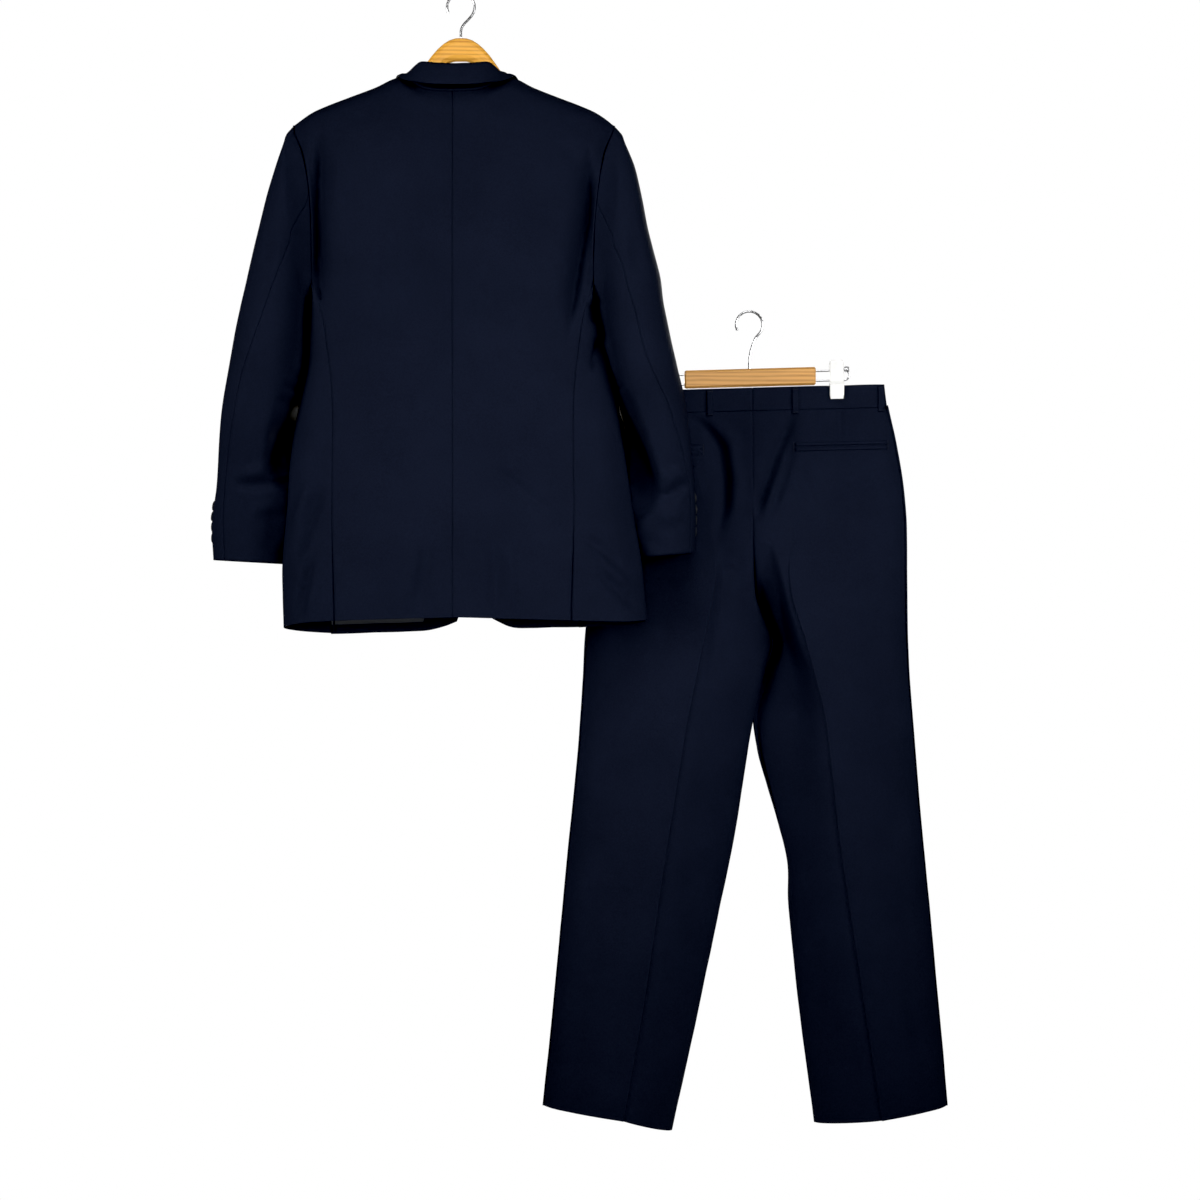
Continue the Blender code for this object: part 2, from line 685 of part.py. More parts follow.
def side_panel(side):
    """The panel under the arm, from the back's seam to the front's."""
    spots = [2 * k / UNDERARM_STEPS - 1 for k in range(UNDERARM_STEPS + 1)]
    points, normals = [], []
    for i in range(BODY_ROWS + 1):
        mark = i / BODY_ROWS
        row, row_normals = [], []
        for across in spots:
            top_turn, top = underarm_spot(side, across)
            hem_turn = mix(
                share_turn(side, seam_share(side, "back", HEM_LEVEL), "back", HEM_LEVEL),
                share_turn(side, seam_share(side, "front", HEM_LEVEL), "front", HEM_LEVEL),
                (across + 1) / 2,
            )
            drop = mix(read(HEM, side, hem_turn), top, mark)
            back_turn = share_turn(side, seam_share(side, "back", drop), "back", drop)
            front_turn = share_turn(side, seam_share(side, "front", drop), "front", drop)
            turn = mix(back_turn, front_turn, (across + 1) / 2)
            share, face = turn_share(side, turn, drop)
            row.append(body_point(side, share, face, drop))
            row_normals.append(body_normal(side, share, face, drop))
        points.append(row)
        normals.append(row_normals)
    ring_normals = armhole_normals(armhole(side))
    first = len(ARM_ANGLES) - 1
    inward = Vector((-SIDES[side], 0, 0))
    for k in range(len(spots)):
        normals[-1][k] = ring_normals[first + k]
        points[-1][k] = points[-1][k] + inward * (ARMHOLE_GAP / 2 * MM)
    for row in points:
        row[0] = row[0] + (row[1] - row[0]).normalized() * (GAP / 2 * MM)
        row[-1] = row[-1] + (row[-2] - row[-1]).normalized() * (GAP / 2 * MM)
    return cloth(f"jacket_side_{side}", points, normals)


# ------------------------------------------------------------------ sleeves


def sleeve_point(side, ring, angle):
    """A point round a sleeve: 0 is its outer edge, 90 its back, 180 its inner edge."""
    sizes = SLEEVES[side]
    sign = SIDES[side]
    outer, inner = (
        place(sign * read(sizes, f"{edge}_x", ring), read(sizes, "mid", ring), read(sizes, f"{edge}_drop", ring))
        for edge in ("outer", "inner")
    )
    turn = math.radians(angle)
    along = math.copysign(abs(math.cos(turn)) ** (2 / SLEEVE_SQUARE), math.cos(turn))
    across = math.copysign(abs(math.sin(turn)) ** (2 / SLEEVE_SQUARE), math.sin(turn))
    depth = read(sizes, "depth", ring) * MM
    return (outer + inner) / 2 + (outer - inner) / 2 * along - Vector((0, depth * across, 0))


def sleeve_normal(side, ring, angle):
    along = sleeve_point(side, ring, angle + 4) - sleeve_point(side, ring, angle - 4)
    down = sleeve_point(side, min(ring + 0.15, 11), angle) - sleeve_point(side, max(ring - 0.15, 1), angle)
    normal = along.cross(down).normalized()
    middle = (sleeve_point(side, ring, 0) + sleeve_point(side, ring, 180)) / 2
    return normal if normal.dot(sleeve_point(side, ring, angle) - middle) > 0 else -normal


SLEEVE_RINGS = (0, 0.5, 1, 1.6, 2.3, 3, 3.8, 4.6, 5.4, 6.2, 7, 7.8, 8.5, 9.2, 10, 11)


def sleeve(side):
    """The top sleeve and the under sleeve, with their seams down the back and the front."""
    ring = armhole(side)
    ring_normals = armhole_normals(ring)
    outward = Vector((SIDES[side], 0, 0))
    count = len(ring)
    under_first, under_last = len(ARM_ANGLES) - 2, count - len(ARM_ANGLES) + 1
    top_spots = list(range(under_last, count)) + list(range(1, under_first + 1))
    under_spots = list(range(under_first, under_last + 1))
    pieces = []
    for name, spots in (("top", top_spots), ("under", under_spots)):
        points, normals = [], []
        for at in SLEEVE_RINGS:
            back = read(SLEEVES[side], "back_seam", max(at, 1))
            front = read(SLEEVES[side], "front_seam", max(at, 1))
            if name == "top":
                start, end = front - 360, back
            else:
                start, end = back, front
            row, row_normals = [], []
            for k, spot in enumerate(spots):
                angle = mix(start, end, k / (len(spots) - 1))
                free = sleeve_point(side, max(at, 1), angle)
                free_normal = sleeve_normal(side, max(at, 1), angle)
                if at == 0:
                    row.append(ring[spot] + outward * (ARMHOLE_GAP / 2 * MM))
                    row_normals.append(ring_normals[spot])
                elif at < 1:
                    puff = HEAD_PUFF * (1 + math.cos(math.radians(angle))) / 2
                    row.append(ring[spot].lerp(free, at) + outward * puff * MM)
                    row_normals.append(ring_normals[spot].lerp(free_normal, at).normalized())
                else:
                    row.append(free)
                    row_normals.append(free_normal)
            points.append(row)
            normals.append(row_normals)
        for row in points:
            row[0] = row[0] + (row[1] - row[0]).normalized() * (GAP / 2 * MM)
            row[-1] = row[-1] + (row[-2] - row[-1]).normalized() * (GAP / 2 * MM)
        pieces.append(cloth(f"sleeve_{name}_{side}", points, normals))
    return pieces


# ------------------------------------------------------------------ collar, lapels and trims


def collar():
    """Stand and fall in one wall that folds over at the top, round the neck from gorge to gorge."""
    stations = [k / 2 for k in range(16, 0, -1)] + [k / 2 for k in range(17)]
    points = []
    for index, station in enumerate(stations):
        sign = -1 if index < 16 else 1

        def spot(column):
            x = sign * read(COLLAR, f"{column}_x", station) + (0 if column == "seam" else COLLAR_SHIFT)
            return place(x, read(COLLAR, f"{column}_y", station), read(COLLAR, f"{column}_drop", station))

        seam, fold, edge = spot("seam"), spot("fold"), spot("edge")
        lift = Vector((0, 0, 1.2 * MM))
        out = (edge - seam)
        out.z = 0
        out = out.normalized() if out.length > 0 else Vector((0, -1, 0))
        points.append([
            seam,
            seam.lerp(fold, 0.55),
            fold - out * 1.5 * MM - lift * 1.5,
            fold + lift,
            fold + out * 2.4 * MM - lift * 1.2,
            fold.lerp(edge, 0.55) + out * 1.2 * MM,
            edge,
        ])
    rows = len(points)
    normals = []
    for i, row in enumerate(points):
        line = []
        for j, point in enumerate(row):
            around = points[min(i + 1, rows - 1)][j] - points[max(i - 1, 0)][j]
            over = row[min(j + 1, len(row) - 1)] - row[max(j - 1, 0)]
            line.append(over.cross(around).normalized())
        normals.append(line)
    return cloth("collar", points, normals, thickness=1.5)


def lapel(side, front):
    """A lapel on its front, from the roll line out."""
    ground = surface_of(front)
    sign = SIDES[side]
    spots = []
    for i, drop in enumerate(LAPEL_ROWS):
        row = []
        fall = NOTCH[i] if i < len(NOTCH) else 0
        for share in LAPEL_ACROSS:
            x = front_edge(side, drop) + LAPEL_INSET + share * read(LAPEL, "width", drop)
            row.append(((sign * x + JACKET_X) * MM, -(drop + fall * share) * MM))
        spots.append(row)

    def roll(i, j):
        fade = 1 - ease(360, 440, LAPEL_ROWS[i])
        return fade * (LAPEL_ROLL * math.sin(math.pi * min(LAPEL_ACROSS[j] * 2.2, 1)) + (1.0 if j else 0))

    return laid(f"lapel_{side}", ground, spots, 1, roll)


def slanted(sizes, sign):
    """Spots of a flap or a welt: its rows fall by its slope from its first end to its last."""
    columns = max(2, round(abs(sizes["to"] - sizes["from"]) / 14))
    xs = [mix(sizes["from"], sizes["to"], k / columns) for k in range(columns + 1)]
    return [
        [((sign * x + JACKET_X) * MM, -(drop + (x - sizes["from"]) * sizes["slope"]) * MM) for x in xs]
        for drop in sizes["rows"]
    ]


def jacket_trims(fronts, sides):
    """Hip flaps, the breast welt and the buttons."""
    for side, sign in SIDES.items():
        ground = surface_of(fronts[side], sides[side])
        laid(f"hip_flap_{side}", ground, slanted(FLAP, sign), 1, lambda i, j: FLAP["flare"] * i)
    ground = surface_of(fronts["left"])
    laid("breast_welt", ground, slanted(WELT, 1), 1)
    outward = Vector((0, 1, 0))
    for number, drop in enumerate(BUTTON_DROPS, 1):
        at = place(FRONT_LEAN, 0, drop)
        hit = ground.ray_cast(at + outward, -outward)[0]
        radius, height = FRONT_BUTTON
        button(f"front_button_{number}", seated(ground, hit, outward, radius), outward, radius, height)


def seated(ground, spot, normal, radius):
    """Where the back of a disc lies so that it clears the ground all round a spot."""
    first = normal.orthogonal().normalized()
    second = normal.cross(first)
    reach = 0.0
    for share in (0, 0.5, 1):
        for k in range(12):
            turn = math.tau * k / 12
            rim = spot + (first * math.cos(turn) + second * math.sin(turn)) * radius * share * MM
            hit = ground.ray_cast(rim + normal * 0.02, -normal)[0]
            if hit is not None:
                reach = max(reach, (hit - spot).dot(normal))
    return spot + normal * (reach + GAP * MM)


def button(name, centre, normal, radius, height):
    """A flat round button whose back lies at a point."""
    first = normal.orthogonal().normalized()
    second = normal.cross(first)
    rings = []
    for share, level in ((0.94, 0), (1, 0.35), (1, 0.75), (0.88, 1)):
        ring = []
        for k in range(12):
            turn = math.tau * k / 12
            flat = first * math.cos(turn) + second * math.sin(turn)
            ring.append(centre + flat * radius * share * MM + normal * height * level * MM)
        rings.append(ring)
    return tube(name, rings, colour=BUTTON_BLACK, roughness=0.35)


def cuff_buttons(side, top):
    """Four buttons up each cuff, beside the sleeve's back seam."""
    ground = surface_of(top)
    sizes = SLEEVES[side]
    length = read(sizes, "outer_drop", 11)
    for number, height in enumerate(CUFF_BUTTONS, 1):
        ring = 11 - height / (length - read(sizes, "outer_drop", 10))
        at = sleeve_point(side, ring, CUFF_BUTTON_TURN[side])
        normal = sleeve_normal(side, ring, CUFF_BUTTON_TURN[side])
        hit, face_normal = ground.ray_cast(at + normal * 0.05, -normal)[:2]
        radius, thick = CUFF_BUTTON
        centre = seated(ground, hit, face_normal, radius)
        button(f"cuff_button_{side}_{number}", centre, face_normal, radius, thick)


def vent(side, back):
    """The underlap of a side vent, inside the back's edge."""
    ground = surface_of(back)
    sign = SIDES[side]
    outer, inner = [], []
    for drop in VENT_ROWS:
        seam = read(SIDE_SEAM, "back", drop)
        outer_row, inner_row = [], []
        for width in VENT_WIDTHS:
            x = (sign * (seam - width) + JACKET_X) * MM
            hit = ground.ray_cast(Vector((x, 0, -drop * MM)), Vector((0, -1, 0)))[0]
            outer_row.append(hit + Vector((0, GAP * MM, 0)))
            inner_row.append(hit + Vector((0, (GAP + CLOTH) * MM, 0)))
        outer.append(outer_row)
        inner.append(inner_row)
    return wall(f"vent_underlap_{side}", outer, inner)


def jacket():
    fronts, sides = {}, {}
    for side in SIDES:
        back = back_panel(side)
        sides[side] = side_panel(side)
        fronts[side] = front_panel(side)
        vent(side, back)
        lapel(side, fronts[side])
        top, _ = sleeve(side)
        cuff_buttons(side, top)
    collar()
    jacket_trims(fronts, sides)


# ------------------------------------------------------------------ trousers


def hang(x, y, drop):
    """A point of the trousers, whose waist is tilted and pinched by the clips."""
    fade = 1 - ease(WAIST_SEAM_DROP, WAIST_SEAM_DROP + 70, drop)
    for clip in CLIP_X:
        y *= 1 - PINCH * fade * math.exp(-(((x - clip) / PINCH_HALF) ** 2))
    tilt = WAIST_TILT * x * (1 - ease(WAIST_DROP, TILT_END_DROP, drop))
    return Vector(((x + TROUSERS_X) * MM, (y + TROUSERS_Y) * MM, (tilt - drop) * MM))


def leg_point(side, face, across, drop):
    """A point of a leg: across is -1 at the outseam, 0 at the crease and 1 at the inner seam."""
    outer, crease, seam = (read(TROUSERS, f"{side}_{name}", drop) for name in ("outer", "crease", "seam"))
    if drop < CROTCH_DROP:
        seam = SIDES[side] * read(SEAT_SEAM, "x", drop)
    depth, seat = read(TROUSERS, face, drop), read(TROUSERS, f"{face}_seam", drop)
    bulge = (1 - abs(across) ** read(TROUSERS, "round", drop)) ** (1 / LEG_BULGE)
    if across < 0:
        x, y = mix(crease, outer, -across), depth * bulge
    else:
        x, y = mix(crease, seam, across), mix(seat, depth, bulge)
    return hang(SIDES[side] * x, y if face == "front" else -y, drop)


def leg_normal(side, face, across, drop):
    """Outward direction of a leg, taken inside the piece at its seams."""
    step = 0.03
    low, high = max(across - step, -1), min(across + step, 1)
    along = leg_point(side, face, high, drop) - leg_point(side, face, low, drop)
    down = leg_point(side, face, across, drop + 4) - leg_point(side, face, across, drop - 4)
    normal = along.cross(down).normalized()
    return normal if (normal.y > 0) == (face == "front") else -normal


def seam_normal(side, face, across, drop):
    """Direction shared by the two pieces that meet at a seam."""
    normal = leg_normal(side, face, across, drop)
    other_face = "front" if face == "back" else "back"
    other_side = "left" if side == "right" else "right"
    if across == -1:
        return (normal + leg_normal(side, other_face, across, drop)).normalized()
    if across == 1 and abs(drop - CROTCH_DROP) < 1:
        return Vector((0, 0, -1))
    if across == 1 and drop > CROTCH_DROP:
        return (normal + leg_normal(side, other_face, across, drop)).normalized()
    if across == 1:
        return (normal + leg_normal(other_side, face, across, drop)).normalized()
    return normal


def leg_hem(side, across):
    outer, crease, inner = LEG_HEM[side]
    return mix(crease, outer, -across) if across < 0 else mix(crease, inner, across)


def leg_piece(side, face):
    """One back or front of the trousers, from the waist seam to the hem, as its list of solids."""
    points, normals = [], []
    for i in range(len(LEG_ROWS) + LEG_STEPS):
        row, row_normals = [], []
        for across in LEG_ACROSS:
            if i < len(LEG_ROWS):
                drop = LEG_ROWS[i] + (GAP if i == 0 else 0)
            else:
                share = (i - len(LEG_ROWS) + 1) / LEG_STEPS
                drop = mix(CROTCH_DROP, leg_hem(side, across), share)
            row.append(leg_point(side, face, across, drop))
            row_normals.append(seam_normal(side, face, across, drop))
        for j, near in ((0, 1), (-1, -2)):
            gap = CROTCH_GAP if j and abs(drop - CROTCH_DROP) < CROTCH_REACH else GAP
            row[j] = row[j] + (row[near] - row[j]).normalized() * (gap / 2 * MM)
        points.append(row)
        normals.append(row_normals)
    if face == "back":
        fold(SEAT_FOLDS, points[1:], normals[1:], TROUSERS_X)
    part = Vector((0, 0, GAP / 2 * MM))
    upper = points[:LEG_CUT] + [[p + part for p in points[LEG_CUT]]]
    lower = [[p - part for p in points[LEG_CUT]]] + points[LEG_CUT + 1:]
    return [
        cloth(f"trouser_{face}_{side}_upper", upper, normals[: LEG_CUT + 1]),
        cloth(f"trouser_{face}_{side}_lower", lower, normals[LEG_CUT:]),
    ]


def waistband(side):
    """Half of the waistband, from the centre back round the side to the centre front."""
    rows = (WAIST_DROP, (WAIST_DROP + WAIST_SEAM_DROP) / 2, WAIST_SEAM_DROP)
    spots = [("back", a) for a in reversed(LEG_ACROSS)] + [("front", a) for a in LEG_ACROSS[1:]]
    points, normals = [], []
    for drop in rows:
        row = [leg_point(side, face, across, drop) for face, across in spots]
        line = [seam_normal(side, face, across, drop) for face, across in spots]
        for j in (0, -1):
            row[j] = row[j] + Vector((SIDES[side] * GAP / 2 * MM, 0, 0))
        points.append(row)
        normals.append(line)
    return cloth(f"waistband_{side}", points, normals, thickness=BAND)


def strip(name, ground, start, end, width, toward, steps=6, across=(-1, 1), **finish):
    """A narrow piece laid along a line between two (x, drop) spots of the trousers."""
    (x0, d0), (x1, d1) = start, end
    length = math.hypot(x1 - x0, d1 - d0)
    side_x, side_d = -(d1 - d0) / length * width / 2, (x1 - x0) / length * width / 2
    spots = []
    for i in range(steps + 1):
        share = i / steps
        row = []
        for off in across:
            x, drop = mix(x0, x1, share) + off * side_x, mix(d0, d1, share) + off * side_d
            row.append(((x + TROUSERS_X) * MM, (WAIST_TILT * x - drop) * MM))
        spots.append(row)
    return laid(name, ground, spots, toward, **finish)


def pocket_jets(side, ground):
    """Both jets of a back pocket, parted by the groove of its mouth."""
    first, last = (sign * SIDES[side] for sign in JET_X[side])
    across = (-1, -JET_MOUTH, 0, JET_MOUTH, 1)
    return strip(
        f"pocket_jets_{side}", ground, (first, JET_DROP), (last, JET_DROP), JET_WIDTH, -1, 10, across,
        groove=lambda i, j: JET_GROOVE if across[j] == 0 else 0, thickness=TRIM,
    )


def pocket_tab(ground):
    """The pointed tab that buttons the left back pocket."""
    spots = []
    for drop, half in TAB_ROWS:
        row = [(TAB_X + share * half, drop) for share in (-1, -0.6, -0.2, 0.2, 0.6, 1)]
        spots.append([((x + TROUSERS_X) * MM, (WAIST_TILT * x - at) * MM) for x, at in row])
    laid("pocket_tab_left", ground, spots, -1, rise=lambda i, j: TAB_CLEAR, thickness=TRIM)


def loop_bow(i, _):
    """A belt loop stands 1 mm off the band at its middle."""
    return math.sin(math.pi * i / 6)


def trousers():
    backs, fronts, bands = {}, {}, {}
    for side in SIDES:
        backs[side] = leg_piece(side, "back")
        fronts[side] = leg_piece(side, "front")
        bands[side] = waistband(side)
    ground = surface_of(*backs["left"], *backs["right"], *fronts["left"], *fronts["right"], *bands.values())
    for name, x, toward in (
        ("back_left", -63, -1),
        ("back_right", 63, -1),
        ("side_left", -192, -1),
        ("side_right", 191, -1),
        ("front_left", -88, 1),
        ("front_right", 88, 1),
    ):
        top, bottom = ((x, drop) for drop in LOOP_DROPS)
        strip(
            f"belt_loop_{name}", ground, top, bottom, LOOP_WIDTH, toward, across=(-1, 0, 1), rise=loop_bow,
            thickness=LOOP_THICK,
        )
    jets = {side: pocket_jets(side, ground) for side in SIDES}
    pocket_tab(surface_of(*backs["left"], jets["left"]))
    for side, sign in SIDES.items():
        start, end = ((sign * x, drop) for x, drop in POCKET_EDGE)
        strip(f"front_pocket_edge_{side}", ground, start, end, POCKET_EDGE_WIDTH, 1, 8, thickness=TRIM)
    start, end = ((x, WAIST_TAB_DROP) for x in WAIST_TAB_X)
    strip("waist_tab", ground, start, end, WAIST_TAB_WIDTH, 1, 5, (-1, 0, 1))
    return surface_of(*bands.values())


# ------------------------------------------------------------------ hangers


DOME = table(
    "half drop",
    (0, 62), (12, 63.5), (24, 70), (36, 81), (46, 93.5), (56, 108), (66, 122), (78, 132), (96, 132),
)
HANGER_HALF = 198
HANGER_THICK = 9
JACKET_STEM = 61.6          # from the rail to the top of the wood
HOOK_RADIUS = 1.75
HOOK_BEND = 19.75
HOOK_SWAN = (8, 9.5, 37)    # straight foot, sideways swing and upper end of the hook's neck


def jacket_hanger():
    """A plain wooden hanger whose shoulders carry the jacket's, and its steel hook."""
    rings = []
    seat = CLOTH + GAP + 1.3
    for k in range(-24, 25):
        x = HANGER_HALF * k / 24
        own = x - JACKET_X
        top = read(DOME, "drop", abs(x))
        if abs(own) > NECK_HALF - 4:
            top = max(shoulder_line(own) + seat, min(top, 126))
        end = 1 - 0.55 * max(0, (abs(k) - 21) / 3) ** 2
        height = mix(34, 24, min(abs(x) / 120, 1)) * end
        half = mix(HANGER_THICK - 2, HANGER_THICK + 1, min(abs(x) / 200, 1)) * end
        ring = []
        for a in range(12):
            turn = math.tau * a / 12
            y = half * math.cos(turn)
            z = height / 2 * math.sin(turn)
            ring.append(Vector((x * MM, y * MM, (-top - height / 2 + z) * MM)))
        rings.append(ring)
    tube("jacket_hanger_wood", rings, colour=WOOD, roughness=0.4)
    hook("jacket_hanger_hook", Vector((0, 0, 0)), JACKET_STEM)


def hook(name, crown_point, stem_drop):
    """A hanger's hook: the stem, and the bend whose inner crown is the point that hangs on the rail."""
    centre = crown_point + Vector((0, 0, -(HOOK_BEND - HOOK_RADIUS) * MM))
    foot, swing, neck_drop = HOOK_SWAN
    points = [crown_point - Vector((0, 0, drop * MM)) for drop in (stem_drop, stem_drop - foot)]
    for k in range(4):
        share = (k + 1) / 4
        spot = Vector((swing * share**2, 0, -mix(stem_drop - foot, neck_drop, share)))
        points.append(crown_point + spot * MM)
    for k in range(15):
        turn = math.radians(-40 + k * 17.5)
        points.append(centre + Vector((math.cos(turn) * HOOK_BEND * MM, 0, math.sin(turn) * HOOK_BEND * MM)))
    return wire(name, points, HOOK_RADIUS, colour=STEEL, roughness=0.25, metallic=1.0)


BAR_X = (-100, 94)
BAR_DROP = 536.8
BAR_HEIGHT = 26.5
BAR_THICK = 12
ROD_DROPS = (529.5, 544)
ROD_RADIUS = 1.4
ROD_ENDS = (-143, 137)
TROUSER_HOOK_X = -4
TROUSER_HOOK_DROP = 440
CLIP_WIDTH = 21
CLIP_DROPS = (514.5, 572)


def trouser_place(x, y, drop):
    """A point of the trouser hanger, which is tilted as the waist is."""
    return Vector(((x + TROUSERS_X) * MM, (y + TROUSERS_Y) * MM, (WAIST_TILT * x - drop) * MM))


def trouser_hanger(bands):
    """A wooden bar, two rods through it, a hook and two clips that pinch the waistband."""
    rod_slot = ROD_RADIUS + GAP
    half_high, half_thick = BAR_HEIGHT / 2, BAR_THICK / 2
    outline = [(-half_thick, -half_high + 3), (-half_thick + 3, -half_high), (half_thick - 3, -half_high)]
    outline += [(half_thick, -half_high + 3), (half_thick, half_high - 3), (half_thick - 3, half_high)]
    outline += [(-half_thick + 3, half_high), (-half_thick, half_high - 3)]
    rings = []
    for x in (BAR_X[0], BAR_X[0] + 2, BAR_X[1] - 2, BAR_X[1]):
        inset = 1.5 if x in BAR_X else 0
        ring = []
        for y, z in outline:
            ring.append(trouser_place(x, y - math.copysign(inset, y), BAR_DROP + z - math.copysign(inset, z)))
        rings.append(ring)
    bar = tube("trouser_hanger_bar", rings, colour=WOOD, roughness=0.42)
    for drop in ROD_DROPS:
        bore = bpy.data.meshes.new("bore")
        bm = bmesh.new()
        bmesh.ops.create_cone(
            bm, cap_ends=True, segments=12, radius1=rod_slot * MM, radius2=rod_slot * MM, depth=260 * MM
        )
        bm.to_mesh(bore)
        bm.free()
        cutter = bpy.data.objects.new(f"bore_{drop:.0f}", bore)
        bpy.context.collection.objects.link(cutter)
        cutter.location = trouser_place((BAR_X[0] + BAR_X[1]) / 2, 0, drop)
        cutter.rotation_euler = (0, math.radians(90) - math.atan(WAIST_TILT), 0)
        cutter.hide_render = True
        cutter.display_type = "WIRE"
        cut = bar.modifiers.new("bore", "BOOLEAN")
        cut.object = cutter
        cut.operation = "DIFFERENCE"
    loop = []
    for x, drops in ((ROD_ENDS[0], ROD_DROPS[::-1]), (ROD_ENDS[1], ROD_DROPS)):
        out = math.copysign(1, x)
        middle, half = sum(drops) / 2, abs(drops[1] - drops[0]) / 2
        for k in range(7):
            turn = math.radians(-90 + 30 * k)
            loop.append((x + out * half * math.cos(turn), middle + out * half * math.sin(turn)))
    wire(
        "trouser_hanger_rods", [trouser_place(x, 0, drop) for x, drop in loop], ROD_RADIUS, closed=True,
        colour=STEEL, roughness=0.25, metallic=1.0,
    )
    crown_point = trouser_place(TROUSER_HOOK_X, 0, TROUSER_HOOK_DROP)
    hook("trouser_hanger_hook", crown_point, BAR_DROP - half_high - TROUSER_HOOK_DROP - GAP)
    for name, centre in (("left", CLIP_X[0]), ("right", CLIP_X[1])):
        for face, toward in (("back", -1), ("front", 1)):
            clip_jaw(f"clip_{name}_{face}", bands, centre, toward)


def clip_jaw(name, bands, centre, toward):
    """One jaw of a clip: it bears on the rods, and its foot on the waistband."""
    band = 0.0
    for x in (-1, -0.5, 0, 0.5, 1):
        for drop in (WAIST_DROP + 0.5, 560, 566, CLIP_DROPS[1]):
            at = trouser_place(centre + x * CLIP_WIDTH / 2, 0, drop)
            height = ground_height(bands, at.x, at.z, toward)
            band = max(band, (height - toward * at.y) / MM + GAP)
    profile = table(
        "drop inner outer",
        (CLIP_DROPS[0], 4.6, 7.2),
        (522, 2.8, 6.0),
        (530, ROD_RADIUS + GAP, 5.0),
        (545, ROD_RADIUS + GAP, 5.0),
        (551, band, band + 3.2),
        (566, band, band + 3.2),
        (CLIP_DROPS[1], band + 0.6, band + 2.6),
    )
    rings = []
    for k, drop in enumerate(profile["drop"]):
        inner, outer = profile["inner"][k], profile["outer"][k]
        half = CLIP_WIDTH / 2 - (1.2 if k in (0, len(profile["drop"]) - 1) else 0)
        corners = ((-half, inner), (half, inner), (half, outer - 0.8), (half - 0.8, outer))
        corners += ((-half + 0.8, outer), (-half, outer - 0.8))
        rings.append([trouser_place(centre + x, toward * y, drop) for x, y in corners])
    tube(name, rings, colour=WHITE, roughness=0.4)


def main():
    for obj in list(bpy.data.objects):
        bpy.data.objects.remove(obj, do_unlink=True)
    jacket()
    bands = trousers()
    jacket_hanger()
    trouser_hanger(bands)


main()
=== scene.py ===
import math

import bmesh
import bpy
import numpy as np
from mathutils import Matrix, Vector, noise
from mathutils.bvhtree import BVHTree


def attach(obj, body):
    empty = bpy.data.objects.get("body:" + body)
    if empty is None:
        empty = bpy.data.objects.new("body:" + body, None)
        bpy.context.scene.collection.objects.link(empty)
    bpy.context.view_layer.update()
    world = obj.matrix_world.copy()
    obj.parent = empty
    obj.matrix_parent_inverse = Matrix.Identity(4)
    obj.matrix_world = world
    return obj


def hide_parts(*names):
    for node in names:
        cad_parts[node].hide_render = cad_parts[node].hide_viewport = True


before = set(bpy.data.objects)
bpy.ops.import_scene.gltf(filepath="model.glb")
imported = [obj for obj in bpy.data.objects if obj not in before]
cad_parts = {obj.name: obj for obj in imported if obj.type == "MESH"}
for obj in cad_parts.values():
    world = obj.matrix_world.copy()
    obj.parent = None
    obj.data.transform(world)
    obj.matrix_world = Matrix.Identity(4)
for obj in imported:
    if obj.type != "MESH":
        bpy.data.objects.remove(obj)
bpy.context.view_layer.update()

mm = 0.001
jacketX = -8.6              # the jacket's centre back seam, in millimetres
trousersX, trousersY = 424, 113
barTurn = math.radians(1.6)
waistTilt = math.tan(barTurn)
cloth = {                   # sizes in millimetres
    "step": 4.4, "wall": 0.9, "hemWall": 2.2, "hemDeep": 34, "cadWall": 1.8,
    "seamSink": 0.75, "seamWide": 1.4,
    "turnDepth": 1.1, "lipReach": 3.2, "innerTurn": 0.4,
    "edgeLines": (0.7, 1.5, 2.6),               # extra lines of the mesh beside an edge
    "creaseLines": ((0.8, 1.6, 2.8), (0.8, 1.8, 3)),     # and past and before a pressed crease
    "leastStep": 0.45, "merged": 0.02,
    "fade": 0.28,                               # the share of a crease that fades at each end
    "creaseBack": (0.3, 2.1),                   # the swell beside a crease: its share, and its width
    "closedFold": -9,                           # deeper folds close on themselves
    "foldMiddle": 0.6, "foldNarrow": 0.45,      # a closed fold's middle, and its width where it fades
    "seed": 7, "rumpleShift": (3.1, 1.7, 2.3), "rumpleWide": 11, "rumpleFine": 27,
    "laidGap": 0.25, "laidEdge": 0.35, "bridge": 3, "seek": (0, 0.8, -0.8, 2, -2, 4, -4), "goOn": 40,
}
cadPoints = {               # rows and columns of points on the face of each solid
    "back": (17, 9), "side": (11, 5), "front": (17, 8), "underlap": (5, 4), "collar": (33, 7),
    "sleeveTop": (16, 11), "sleeveUnder": (16, 7), "waistband": (3, 21), "upper": (16, 11), "lower": (11, 11),
}


class Value:
    # a socket that takes part in sums
    def __init__(self, tree, socket):
        self.tree, self.socket = tree, socket

    def math(self, operation, *others):
        return self.tree.add("ShaderNodeMath", {"operation": operation}, [self, *others])

    def __add__(self, other):
        return self.math("ADD", other)

    def __mul__(self, other):
        return self.math("MULTIPLY", other)

    __radd__, __rmul__ = __add__, __mul__


